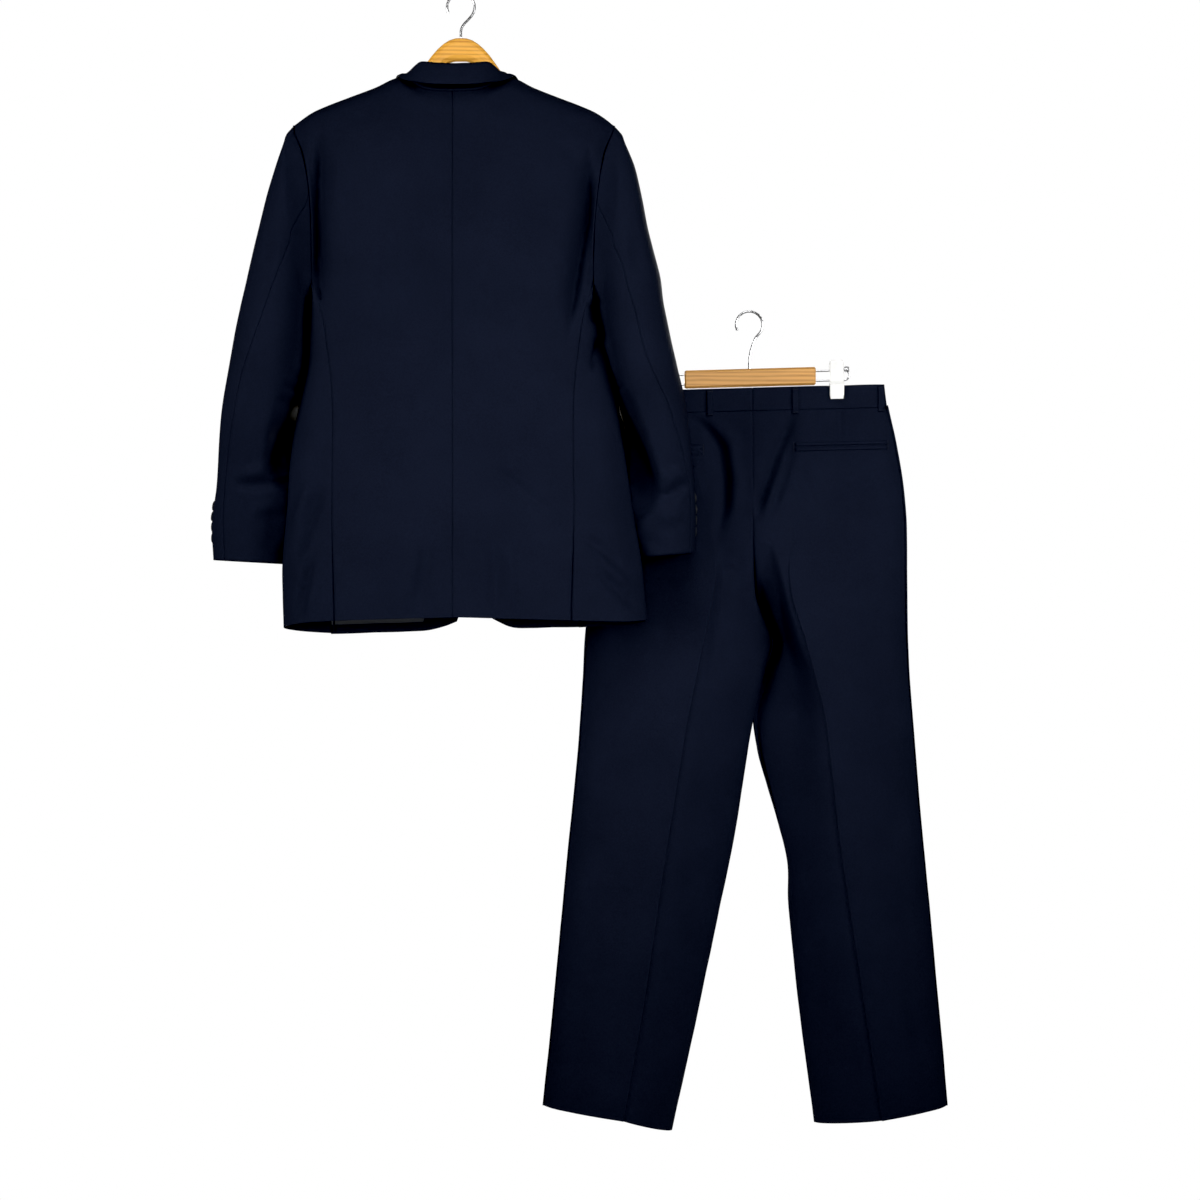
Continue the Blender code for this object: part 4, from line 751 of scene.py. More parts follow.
def jacketPiece(name, node, size, first, outward, seams, face, lips="", wall=None, lined=None, step=None,
                rests=(), thick=cloth["cadWall"], reach=None, fit=None):
    outward = np.array(outward, float)
    points = panelPoints(node, size, first, outward, thick)
    grid, _ = woven(points, step)
    if fit:
        grid = fit(grid)
    if face == "front":         # the hem dips towards the vents and the cutaway
        lower = np.interp(grid[:, :, 0] / mm - jacketX, *jacket["hemLower"])
        grid[:, :, 2] -= lower * (1 - step01(*jacket["hemFade"], edgeDistance(grid)["first"])) * mm
    if face == "back":
        parted = jacket["ventGap"] * step01(*jacket["vent"], -grid[:, :, 2] / mm)
        parted *= 1 - step01(*jacket["ventSide"], edgeDistance(grid)["far"])
        grid[:, :, 0] -= np.sign(grid[:, :, 0] - jacketX * mm) * parted * mm
    normals = facing(grid, outward)
    height = rumpled(grid, jacket["rumple"], cloth["seed"])
    height = height + sunkSeams(grid, seams)
    folded = jacketHeight(grid, face) if face else 0 * height
    if face == "back":
        folded *= step01(*jacket["backEdge"], edgeDistance(grid)["far"])
    along = normals if face == "side" else np.broadcast_to(outward, normals.shape)
    deep = step01(*jacket["folded"], abs(folded))[:, :, None]
    grid = grid + normals * (height * mm)[:, :, None] + along * (folded * mm)[:, :, None]
    cut[name] = grid
    distance = edgeDistance(grid)
    thickness = np.full(grid.shape[:2], wall or cloth["wall"])
    inside = None
    if lined is not None:
        inside = lined(distance)
        thickness = np.where(inside, thickness, cloth["hemWall"])
        inside &= (deep[:, :, 0] < jacket["plainUnder"]) & (distance["last"] > jacket["topPlain"])
    wallWay = normals * (1 - deep) + along * deep
    return hungPiece(name, node, grid, wallWay, thickness, seams, lips, inside, rests, reach)


cut = {}                    # the outer face of each piece of the jacket's body


def neckReach(edge):
    # the back's neck edge goes up inside the collar
    x = abs(edge[:, 0] / mm - jacketX)
    return cloth["lipReach"] + (jacket["neckReach"] - cloth["lipReach"]) * (1 - step01(*jacket["neckEnd"], x))


def sideReach(edge):
    # the side panel's top goes on up inside the sleeve
    return cloth["lipReach"] + jacket["sideReach"] * (1 - step01(*jacket["sideEnd"], -edge[:, 2] / mm))


def frontReach(edge):
    # at the underarm the front goes on inside the sleeve
    drop = -edge[:, 2] / mm
    there = step01(*jacket["frontStart"], drop) * (1 - step01(*jacket["frontEnd"], drop))
    return cloth["lipReach"] + jacket["frontReach"] * there


def centreLow(point):
    return point[2] + abs(point[0] - jacketX * mm) * 0.5


def outerLow(point):
    return point[2] - abs(point[0] - jacketX * mm) * 0.5


def backLow(point):
    return point[2] + point[1]


def plot(rows, columns, spot):
    # a grid of (x, z) spots in metres; spot takes the shares of the way down and over
    return [[spot(i / (rows - 1), j / (columns - 1)) for j in range(columns)] for i in range(rows)]


def bodyLined(distance):
    return distance["first"] > cloth["hemDeep"]


def frontLined(distance):
    return (distance["first"] > jacket["frontHemDeep"]) & (distance["far"] > jacket["facing"])


signs = {"left": -1, "right": 1}
hanger = ["jacket_hanger_wood"]
backs, fronts, flanks = {}, {}, {}
for side, sign in signs.items():
    word = side.capitalize()
    backs[side] = jacketPiece(
        f"jacketBack{word}", f"jacket_back_{side}", cadPoints["back"], centreLow, (0, -1, 0),
        "near far last", "back", lips="last far near" if side == "left" else "last far",
        step=jacket["backStep"], lined=bodyLined, rests=hanger, reach=neckReach)
    flanks[side] = jacketPiece(
        f"jacketSide{word}", f"jacket_side_{side}", cadPoints["side"], backLow, (sign, 0, 0),
        "near far last", "side", lips="near far last", lined=bodyLined, reach=sideReach)
    fronts[side] = jacketPiece(
        f"jacketFront{word}", f"jacket_front_{side}", cadPoints["front"], outerLow, (0, 1, 0),
        "near last", "front", lips="near last", lined=frontLined, rests=hanger, reach=frontReach)
    jacketPiece(
        f"ventUnderlap{word}", f"vent_underlap_{side}", cadPoints["underlap"], outerHigh, (0, -1, 0),
        "", "", wall=jacket["underlapWall"])
print("jacket body cut")

collar = {      # each pair says where something starts and where it is whole, in millimetres
    "wall": 1.3, "cadWall": 1.5, "step": 2.6,
    "neckHalf": 92, "meet": (16, 26), "smooth": 6, "fade": (4, 30), "middle": (24, 70),
    "stand": (1, 7), "standEnd": (20, 34), "standIn": 8,
    "fall": (4, 34), "off": 7.5, "low": 3.4,
    "tips": (48, 74), "tipsDeep": (6, 34), "tipsBack": (-25, -2), "tipsIn": 2.5, "tipsLow": 1.6,
}


def smoothed(run, rounds):
    for _ in range(rounds):
        run[1:-1] = (run[:-2] + 2 * run[1:-1] + run[2:]) / 4
    return run


def collarFit(grid):
    # the stand's lower edge meets the neck edges of the body
    pieces = [f"jacket{part}{side}" for part in ("Back", "Front") for side in ("Left", "Right")]
    neck = np.concatenate([cut[name][-1] for name in pieces])
    neck = neck[abs(neck[:, 0] / mm - jacketX) < collar["neckHalf"]]
    apart = np.linalg.norm(grid[:, 0][:, None] - neck[None], axis=2)
    shift = neck[apart.argmin(1)] - grid[:, 0]
    shift = smoothed(shift * (1 - step01(*collar["meet"], apart.min(1) / mm))[:, None], collar["smooth"])
    distance = edgeDistance(grid)
    grid = grid + shift[:, None] * (1 - step01(*collar["fade"], distance["near"]))[:, :, None]
    fromCentre = abs(grid[:, :, 0] / mm - jacketX)
    middle = (1 - step01(*collar["middle"], fromCentre)) * (grid[:, :, 1] < 0)
    recess = middle * step01(*collar["stand"], distance["near"])
    recess = recess * (1 - step01(*collar["standEnd"], distance["near"]))
    away = middle * (1 - step01(*collar["fall"], distance["far"]))
    grid[:, :, 1] += (collar["standIn"] * recess - collar["off"] * away) * mm
    tips = step01(*collar["tips"], fromCentre) * (1 - step01(*collar["tipsDeep"], distance["far"]))
    tips *= 1 - step01(*collar["tipsBack"], grid[:, :, 1] / mm)
    grid[:, :, 1] += collar["tipsIn"] * tips * mm
    grid[:, :, 2] -= (collar["low"] * away + collar["tipsLow"] * tips) * mm
    return grid


jacketPiece("collar", "collar", cadPoints["collar"], neckLeft, (0, 0, 1), "", "",
            wall=collar["wall"], step=collar["step"], thick=collar["cadWall"], fit=collarFit)

sleeves = {
    "step": 4.2,
    "backSeam": {   # (x, drop) spots that the seam down the back runs through
        "left": [(-205, 288), (-220, 335), (-232, 372), (-243, 401), (-254, 430), (-265, 462), (-280, 500),
                 (-294, 535), (-305, 578), (-312, 611), (-318, 640), (-327, 690), (-333, 740), (-334, 812)],
        "right": [(207, 302), (216, 340), (226, 368), (239, 396), (246, 426), (256, 455), (266, 498),
                  (279, 537), (305, 590), (323, 643), (334, 687), (338, 712), (339, 750), (338, 804)],
    },
    "edge": {       # where the back of the sleeve turns away to the body: drop, x and depth
        "left": ((455, 486, 521, 556, 593, 631, 662, 684, 706, 740),
                 (206, 210, 216, 233, 248, 259, 266, 268, 258, 232), (0, 14, 34, 50, 58, 56, 44, 28, 12, 0)),
        "right": ((455, 488, 540, 573, 611, 649, 690, 712, 736, 770),
                  (208, 214, 226, 246, 264, 276, 290, 292, 282, 262), (0, 12, 32, 50, 58, 56, 44, 28, 12, 0)),
    },
    "turn": (-2.4, 6), "turnEnd": (-30, 50), "creaseEnd": (-10, 28),
    # the side towards the body swells until it touches: drops, height of Y, its half, and how it must face
    "touch": (400, 414, 770, 800), "touchY": 4, "touchHalf": 40, "touchFacing": (0.35, 0.75),
    "underarmFacing": (-0.3, 0.05), "underarmEnd": (452, 480), "look": 70, "pressed": 0.3,
    "leastWish": 0.001, "plainWish": 0.05,
    "bulge": {"left": 0, "right": 3.6},
    "bulgeStart": (205, 250), "bulgeEnd": (400, 450), "bulgeFacing": (0.2, 0.8),
    "folded": (0.5, 3), "foldFacing": (0.1, 0.5), "topPlain": 30,
    "around": 2.5, "close": (0.15, 0.8, 1.6, 2.8), "rest": 6,       # columns beside a seam, then even ones
    "columns": {"Top": 44, "Under": 30},
    "backShare": (0.2, 0.9), "smooth": 12,
}


def sleeveRings(side):
    # both pieces of the sleeve as one tube, from the front seam round the outer edge and the back
    sign = signs[side]
    top = panelPoints(f"sleeve_top_{side}", cadPoints["sleeveTop"], frontHigh, np.array((sign, 0, 0)))
    under = panelPoints(f"sleeve_under_{side}", cadPoints["sleeveUnder"], backHigh, np.array((-sign, 0, 0)))
    front = (top[:, :1] + under[:, -1:]) / 2
    back = (top[:, -1:] + under[:, :1]) / 2
    rings = np.concatenate([front, top[:, 1:-1], back, under[:, 1:-1], front], axis=1)
    rings, _ = stretched(rings, sleeves["step"], ["start"])
    around, _ = stretched(rings.transpose(1, 0, 2), sleeves["around"])
    return around.transpose(1, 0, 2)


def backSeamShare(rings, path):
    # how far round each ring the back seam lies
    length = runLength(rings, 1)
    share = length / length[:, -1:]
    x, drop = rings[:, :, 0] / mm - jacketX, -rings[:, :, 2] / mm
    away, _ = nearLine(x, drop, path)
    back = rings[:, :, 1] < (rings[:, :, 1].max(1) + rings[:, :, 1].min(1))[:, None] / 2
    low, high = sleeves["backShare"]
    away = np.where(back & (share > low) & (share < high), away, 1e6)
    spot = np.array([s[k] for s, k in zip(share, away.argmin(1))])
    return share, smoothed(spot, sleeves["smooth"])


def sleevePart(rings, share, starts, ends, columns):
    # a panel between two shares of the way round, with fine columns beside its seams
    length = np.linalg.norm(np.diff(rings, axis=1), axis=2).sum(1)
    close, rest = list(sleeves["close"]), sleeves["rest"]
    rows = []
    for ring, at, start, end, whole in zip(rings, share, starts, ends, length):
        width = (end - start) * whole / mm
        even = list(np.linspace(rest, width - rest, columns))
        marks = np.array(close + even + [width - c for c in close[::-1]])
        marks = start + marks * mm / whole
        rows.append(np.stack([np.interp(marks, at, ring[:, k]) for k in range(3)], 1))
    return np.array(rows)


def sleeveShape(grid, side, outward, ground):
    normals = facing(grid, outward)
    x, y, drop = grid[:, :, 0] / mm - jacketX, grid[:, :, 1] / mm, -grid[:, :, 2] / mm
    height = rumpled(grid, jacket["rumple"], cloth["seed"])
    height = height + sunkSeams(grid, "near far")
    moved = grid + normals * (height * mm)[:, :, None]
    moved[:, :, 1] -= jacketHeight(grid, "sleeve") * (1 - step01(*sleeves["creaseEnd"], y)) * mm
    drops, edges, depths = sleeves["edge"][side]
    over = np.interp(drop, drops, edges) - abs(x)
    fall = np.interp(drop, drops, depths) * step01(*sleeves["turn"], over)
    moved[:, :, 1] += fall * (1 - step01(*sleeves["turnEnd"], y)) * mm
    start, whole, fading, end = sleeves["touch"]
    wish = step01(start, whole, drop) * (1 - step01(fading, end, drop))
    off = (moved[:, :, 1] / mm - sleeves["touchY"]) / sleeves["touchHalf"]
    wish = wish * np.clip(1 - off ** 2, 0, 1) ** 2
    toward = -signs[side]
    facingBody = normals[:, :, 0] * toward
    underarm = step01(*sleeves["underarmFacing"], facingBody) * (1 - step01(*sleeves["underarmEnd"], drop))
    wish = wish * np.maximum(step01(*sleeves["touchFacing"], facingBody), underarm)
    moved[:, :, 0] += toward * swollen(moved, ground, toward, wish) * mm
    bulge = sleeves["bulge"][side] * step01(*sleeves["bulgeStart"], drop)
    bulge = bulge * (1 - step01(*sleeves["bulgeEnd"], drop))
    moved[:, :, 0] -= toward * bulge * step01(*sleeves["bulgeFacing"], -facingBody) * mm
    fallen = abs(moved[:, :, 1] - grid[:, :, 1]) / mm
    deep = step01(*sleeves["folded"], fallen) * step01(*sleeves["foldFacing"], -normals[:, :, 1])
    plain = (deep < jacket["plainUnder"]) & (wish < sleeves["plainWish"])
    deep = deep[:, :, None]
    return moved, normals * (1 - deep) + np.array((0, -1, 0)) * deep, plain


for side, sign in signs.items():
    word = side.capitalize()
    body = groundOf(backs[side], flanks[side], fronts[side])
    rings = sleeveRings(side)
    share, seam = backSeamShare(rings, sleeves["backSeam"][side])
    none = np.zeros(len(rings))
    for part, starts, ends, toward, lips in (
            ("Top", none, seam, sign, ""), ("Under", seam, none + 1, -sign, "near far")):
        outward = np.array((toward, 0.0, 0.0))
        grid = sleevePart(rings, share, starts, ends, sleeves["columns"][part])
        grid, normals, plain = sleeveShape(grid, side, outward, body)
        distance = edgeDistance(grid)
        inside = distance["last"] > cloth["hemDeep"]
        thickness = np.where(inside, cloth["wall"], cloth["hemWall"])
        inside &= plain & (distance["first"] > sleeves["topPlain"])
        hungPiece(f"sleeve{part}{word}", f"sleeve_{part.lower()}_{side}", grid, normals, thickness,
                  "near far first", lips, inside)
print("sleeves and collar cut")

lapels = {
    "top": 212, "length": 340,
    "drop": (212, 236, 300, 360, 420, 480, 530, 556), "width": (58, 68, 82, 80, 74, 62, 40, 12),
    # the roll line starts at this x and drop, ends past the centre, and the lapel lies beside it
    "neck": (57, 206), "breakLong": 354, "lapped": 26, "shift": -20, "beside": 2,
    "notch": 22, "notchLong": 26, "wall": 1.7, "grid": (90, 22),
    "roll": 2.5, "rollNarrow": 2.2, "rollEdge": 12, "rollFade": (360, 80),
}
hipFlaps = {"inner": 66, "wide": 138, "top": 650, "deep": 54, "slope": 0.04, "wall": 1.6, "grid": (24, 50)}
breastWelt = {"inner": -106, "wide": 72, "top": 330, "deep": 24, "slope": 0.1, "wall": 1.5, "grid": (12, 34)}


def jacketSpot(x, drop):
    return (x + jacketX) * mm, -drop * mm


def lapelSpot(sign):
    def spot(down, over):
        drop = lapels["top"] + lapels["length"] * down
        top, start = lapels["neck"]
        low = lapels["lapped"] * sign + lapels["shift"]
        edge = top + (low - top) * (drop - start) / lapels["breakLong"]
        x = edge + lapels["beside"] + over * np.interp(drop, lapels["drop"], lapels["width"])
        notch = lapels["notch"] * over * max(0, 1 - down * lapels["length"] / lapels["notchLong"])
        return jacketSpot(sign * x, drop + notch)
    return spot


def pocketSpot(sizes, sign):
    def spot(down, over):
        x = sizes["inner"] + math.copysign(sizes["wide"], sizes["inner"]) * over
        drop = sizes["top"] + sizes["deep"] * down + (x - sizes["inner"]) * sizes["slope"]
        return jacketSpot(sign * x, drop)
    return spot


for side, sign in signs.items():
    word = side.capitalize()
    ground = groundOf(fronts[side], flanks[side])
    rows, columns = lapels["grid"]
    downs, overs = np.linspace(0, 1, rows)[:, None], np.linspace(0, 1, columns)[None, :]
    start, fading = lapels["rollFade"]
    fade = 1 - np.clip((lapels["top"] + lapels["length"] * downs - start) / fading, 0, 1)
    crown = lapels["roll"] * np.sin(np.pi * np.minimum(overs * lapels["rollNarrow"], 1))
    roll = fade * (crown + np.minimum(overs * lapels["rollEdge"], 1))
    spots = plot(rows, columns, lapelSpot(sign))
    laidPiece(f"lapel{word}", f"lapel_{side}", ground, spots, 1, lapels["wall"], rise=roll)
    rows, columns = hipFlaps["grid"]
    spots = plot(rows, columns, pocketSpot(hipFlaps, sign))
    off = np.linspace(0, 1, rows)[:, None] * np.ones((1, columns))
    laidPiece(f"hipFlap{word}", f"hip_flap_{side}", ground, spots, 1, hipFlaps["wall"], rise=off)
spots = plot(*breastWelt["grid"], pocketSpot(breastWelt, 1))
laidPiece("breastWelt", "breast_welt", groundOf(fronts["left"]), spots, 1, breastWelt["wall"])
print("lapels, flaps and breast pocket laid on")


trousers = {
    "rumple": 0.6,
    "crease": (790, 850, 1.2, 9, 3.0, 1.6),     # start, whole, ridge, its width, step inside it, its width
    "creaseLine": 4,                            # the column of the solid's points that the crease follows
    "innerFull": ((860, 900, 1040, 1080, 1600), (0, 3.4, 3.8, 2.6, 2.4)), "innerWide": (0, 45),
    "outerFull": {"left": 1.3, "right": 2.2}, "outerWide": (0, 60), "outerDrop": (700, 900),
    "thighKeep": (0, 30), "seamShare": 0.35, "seamKeep": (0, 20),      # how the turn ends at the inside seam
    "thigh": {      # where the back of a thigh turns away: drop, x, depth and width of the turn
        "left": ((780, 830, 880, 930, 1000), (-52, -56, -64, -72, -84),
                 (0, 8, 10, 8, 0), (8, 10, 12, 14, 16)),
        "right": ((780, 835, 877, 927, 968, 1030, 1120, 1220), (28, 43, 53, 68, 86, 102, 112, 118),
                  (0, 16, 36, 46, 40, 24, 12, 0), (8, 10, 13, 18, 26, 40, 56, 60)),
    },
    "back": [
        (-8.4, 8, [(-110, 588), (-70, 612), (-47, 642), (-40, 686), (-44, 730), (-56, 790)]),
        (4.4, 9, [(-70, 590), (-32, 632), (-24, 700), (-30, 770)]),
        (-10, 5, [(70, 572), (56, 602), (32, 668), (0, 756)]),
        (3.6, 6, [(50, 620), (28, 700), (14, 760)]),
        (-4.6, 6, [(62, 626), (46, 690), (22, 745)]),
        (-3.0, 9, [(66, 656), (72, 690), (92, 730)]),
        (-3.2, 9, [(88, 668), (124, 708), (172, 690), (190, 660)]),
        (-1.8, 8, [(-22, 618), (-8, 628)]),
        (-1.6, 12, [(70, 668), (92, 740)]),
        (-1.6, 14, [(120, 680), (150, 700)]),
        (-2.6, 4, [(130, 574), (131, 640)]),
        (-2.2, 6, [(-56, 816), (-20, 826)]),
        (-1.2, 9, [(218, 1420), (246, 1530)]),
        (-2.0, 9, [(-50, 1250), (-36, 1300)]),
    ],
    "front": [
        (-1.6, 12, [(-70, 640), (-30, 720), (-8, 790)]),
        (-1.6, 12, [(70, 640), (30, 720), (8, 790)]),
        (1.4, 12, [(-100, 760), (-60, 840)]),
        (1.4, 12, [(100, 760), (60, 840)]),
        (-1.3, 12, [(-150, 1240), (-110, 1300)]),
        (-1.3, 12, [(150, 1240), (110, 1290)]),
    ],
}


def legFull(grid, face):
    # the legs meet below the crotch, and the right thigh turns away from its crease there
    x, drop = grid[:, :, 0] / mm - trousersX, -grid[:, :, 2] / mm
    side = "right" if x.mean() > 0 else "left"
    sign = signs[side]
    distance = edgeDistance(grid)
    inner = np.interp(drop, *trousers["innerFull"]) * (1 - step01(*trousers["innerWide"], distance["far"]))
    outer = trousers["outerFull"][side] * (1 - step01(*trousers["outerWide"], distance["near"]))
    outer = outer * step01(*trousers["outerDrop"], drop)
    grid = grid.copy()
    grid[:, :, 0] += sign * (outer - inner) * mm
    if face == "back":
        drops, edges, depths, turns = trousers["thigh"][side]
        over = (np.interp(drop, drops, edges) - x) * sign
        turn = np.interp(drop, drops, turns)
        if side == "left":
            keep = step01(*trousers["thighKeep"], distance["far"])
        else:
            keep = 1 - trousers["seamShare"] * (1 - step01(*trousers["seamKeep"], distance["far"]))
        grid[:, :, 1] += np.interp(drop, drops, depths) * step01(0, turn, over) * keep * mm
    return grid


def trouserPiece(name, node, grids, outward, seams, face, lips="", wall=None, step=None, sharp=()):
    outward = np.array(outward, float)
    points = grids[0]
    for lower in grids[1:]:         # a leg in two solids is one panel
        points = np.vstack([points[:-1], (points[-1:] + lower[:1]) / 2, lower[1:]])
    grid, columnMarks = woven(points, step, sharp)
    normals = facing(grid, outward)
    x = grid[:, :, 0] / mm - trousersX
    drop = -grid[:, :, 2] / mm
    height = rumpled(grid, trousers["rumple"], cloth["seed"] + 3) + sunkSeams(grid, seams)
    if not face:
        grid = grid + normals * (height * mm)[:, :, None]
        return hungPiece(name, node, grid, normals, np.full(grid.shape[:2], wall), seams, lips)
    near = edgeDistance(grid)["near"]
    away = near - near[:, [abs(columnMarks - sharp[0]).argmin()]]
    low, high, ridge, broad, fallen, edge = trousers["crease"]
    inside = fallen * step01(0, edge, away) * np.exp(-np.maximum(away, 0) / broad)
    height += step01(low, high, drop) * (ridge * np.exp(-abs(away) / broad) - inside)
    grid = grid + normals * (height * mm)[:, :, None]
    grid = legFull(grid + outward * (creased(x, drop, trousers[face]) * mm)[:, :, None], face)
    thickness = np.where(edgeDistance(grid)["last"] < cloth["hemDeep"], cloth["hemWall"], cloth["wall"])
    bands = ["waistbandLeft", "waistbandRight"]
    return hungPiece(name, node, grid, normals, thickness, seams, lips, rests=bands)


def seatOut(point):
    # the outseam's end of a leg's top row
    return -point[2] - abs(point[0] - trousersX * mm)


def bandFirst(point):
    # the top corner at the centre back
    return -point[2] * 0.3 + point[1] + abs(point[0] - trousersX * mm)


waistband = {"wall": 1.9, "cadWall": 2.4, "step": 3.2}
bodies = []
for side, sign in signs.items():
    word = side.capitalize()
    outward = np.array((sign, 0, 0))
    node = f"waistband_{side}"
    points = panelPoints(node, cadPoints["waistband"], bandFirst, outward, waistband["cadWall"])
    bodies.append(trouserPiece(
        f"waistband{word}", node, [points], outward, "near", "",
        wall=waistband["wall"], step=waistband["step"]))
    for face, toward in (("back", -1), ("front", 1)):
        nodes = {part: f"trouser_{face}_{side}_{part}" for part in ("upper", "lower")}
        outward = np.array((0, toward, 0))
        grids = [panelPoints(node, cadPoints[part], seatOut, outward) for part, node in nodes.items()]
        bodies.append(trouserPiece(
            f"trouser{face.capitalize()}{word}", list(nodes.values()), grids, outward, "near far first", face,
            "near first far" if face == "front" else "far first" if side == "left" else "first",
            sharp=(trousers["creaseLine"],)))
print("trousers cut")
ground = groundOf(*bodies)


def trouserSpot(x, drop):
    return (x + trousersX) * mm, (waistTilt * x - drop) * mm


def stripSpot(start, end, width):
    # a straight strip between two (x, drop) spots
    (x0, d0), (x1, d1) = start, end
    length = math.hypot(x1 - x0, d1 - d0)
    sideX, sideD = -(d1 - d0) / length * width / 2, (x1 - x0) / length * width / 2

    def spot(down, over):
        off = 2 * over - 1
        return trouserSpot(x0 + (x1 - x0) * down + off * sideX, d0 + (d1 - d0) * down + off * sideD)
    return spot


beltLoop = {
    "x": {("back", "left"): -63, ("back", "right"): 63, ("side", "left"): -192, ("side", "right"): 191,
          ("front", "left"): -88, ("front", "right"): 88},
    "top": 554, "bottom": 593, "wide": 9.5, "wall": 2.4, "soft": 0.8, "grid": (24, 9),
}
backPocket = {
    "ends": {"right": (62, 199), "left": (-74, -207)}, "levels": {"upper": 638.4, "lower": 646},
    "wide": 5.2, "wall": 2.3, "soft": 1.2, "grid": (60, 8),
}
frontPocket = {"top": (158, 592), "bottom": (204, 745), "wide": 7, "wall": 1.2, "soft": 2, "grid": (60, 6)}
pocketTab = {
    "x": -86, "top": 634, "long": 34, "drop": (634, 650, 658, 664, 668), "half": (8.5, 8.5, 8, 4.5, 0.6),
    "wall": 1.1, "soft": 1.2, "grid": (24, 12),
}
waistTab = {"start": (-4, 569), "end": (52, 569), "wide": 30, "wall": 1.6, "grid": (30, 16)}


def loopWay(where):
    return 1 if where == "front" else -1


def loopName(where, side):
    return f"beltLoop{where.capitalize()}{side.capitalize()}"


for (where, side), x in beltLoop["x"].items():
    rows, columns = beltLoop["grid"]
    bow = np.sin(np.pi * np.linspace(0, 1, rows))[:, None] * np.ones((1, columns))
    strip = stripSpot((x, beltLoop["top"]), (x, beltLoop["bottom"]), beltLoop["wide"])
    laidPiece(loopName(where, side), f"belt_loop_{where}_{side}", ground, plot(rows, columns, strip),
              loopWay(where), beltLoop["wall"], beltLoop["soft"], bow, f"waistband{side.capitalize()}")
for side, (start, end) in backPocket["ends"].items():
    for level, drop in backPocket["levels"].items():
        strip = stripSpot((start, drop), (end, drop), backPocket["wide"])
        laidPiece(f"pocketJet{side.capitalize()}{level.capitalize()}", f"pocket_jets_{side}", ground,
                  plot(*backPocket["grid"], strip), -1, backPocket["wall"], backPocket["soft"],
                  carrier=f"trouserBack{side.capitalize()}")
for side, sign in signs.items():
    start, end = ((sign * x, drop) for x, drop in (frontPocket["top"], frontPocket["bottom"]))
    laidPiece(f"frontPocketEdge{side.capitalize()}", f"front_pocket_edge_{side}", ground,
              plot(*frontPocket["grid"], stripSpot(start, end, frontPocket["wide"])), 1,
              frontPocket["wall"], frontPocket["soft"], carrier=f"trouserFront{side.capitalize()}")


def tabSpot(down, over):
    drop = pocketTab["top"] + pocketTab["long"] * down
    half = np.interp(drop, pocketTab["drop"], pocketTab["half"])
    return trouserSpot(pocketTab["x"] + (2 * over - 1) * half, drop)


jets = [bpy.data.objects["pocketJetLeftUpper"], bpy.data.objects["pocketJetLeftLower"]]
laidPiece("pocketTabLeft", "pocket_tab_left", groundOf(*bodies, *jets), plot(*pocketTab["grid"], tabSpot), -1,
          pocketTab["wall"], pocketTab["soft"], carrier="trouserBackLeft")
strip = stripSpot(waistTab["start"], waistTab["end"], waistTab["wide"])
laidPiece("waistTab", "waist_tab", ground, plot(*waistTab["grid"], strip), 1, waistTab["wall"])
print("loops and pockets laid on")


def joined(parts):
    # several (points, faces) lists as one
    points, faces = [], []
    for spots, loops in parts:
        faces += [tuple(len(points) + v for v in loop) for loop in loops]
        points += [tuple(p) for p in spots]
    return points, faces


def wire(path, radius, sides=12):
    # a round wire along a path, with rounded ends
    path = np.array(path, float)
    ahead = np.gradient(path, axis=0)
    ahead /= np.linalg.norm(ahead, axis=1)[:, None]
    caps = ((1.0, 0.25), (0.7, 0.75))           # how far past the end, and how wide there, in radii
    stations = [(path[0] - out * radius * ahead[0], ahead[0], size) for out, size in caps]
    stations += [(spot, way, 1) for spot, way in zip(path, ahead)]
    stations += [(path[-1] + out * radius * ahead[-1], ahead[-1], size) for out, size in caps[::-1]]
    side = np.cross(ahead[0], (0.31, 0.53, 0.79))       # any direction off the wire
    points, faces = [], []
    for spot, way, size in stations:
        side = side - way * (side @ way)
        side /= np.linalg.norm(side)
        other = np.cross(way, side)
        turns = np.arange(sides) * 2 * math.pi / sides
        points += [spot + size * radius * (math.cos(t) * side + math.sin(t) * other) for t in turns]
    for k in range(len(stations) - 1):
        for j in range(sides):
            a, b = k * sides + j, k * sides + (j + 1) % sides
            faces.append((a, b, b + sides, a + sides))
    faces.append(tuple(range(sides))[::-1])
    faces.append(tuple(len(points) - sides + j for j in range(sides)))
    return points, faces


def plainPiece(name, points, faces, material, slot=None, node=None):
    piece = meshPiece(name, points, faces, [material])
    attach(piece, "root")
    if node:
        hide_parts(node)
    return piece


sewnButton = {      # shares of the radius and of half the thickness
    "spokes": 48, "rim": (0.60, 0.76), "dish": 0.45, "round": 0.90, "edge": 0.5,
    "holeAt": 0.17, "hole": (0.055, 0.10), "holeDeep": 0.9,
    "rings": (0.45, 0.54, 0.60, 0.65, 0.70, 0.76, 0.83, 0.90), "fineRings": (0.02, 0.36, 18),
    "back": ((1, 1.5), (0.94, 1.9), (0.86, 2.0)),
    "thread": 0.28, "pair": 0.175, "bow": 0.45, "inHole": 0.5,     # the sewing, in millimetres
    "look": 0.03,                               # how far the cloth may lie from the button, in metres
}


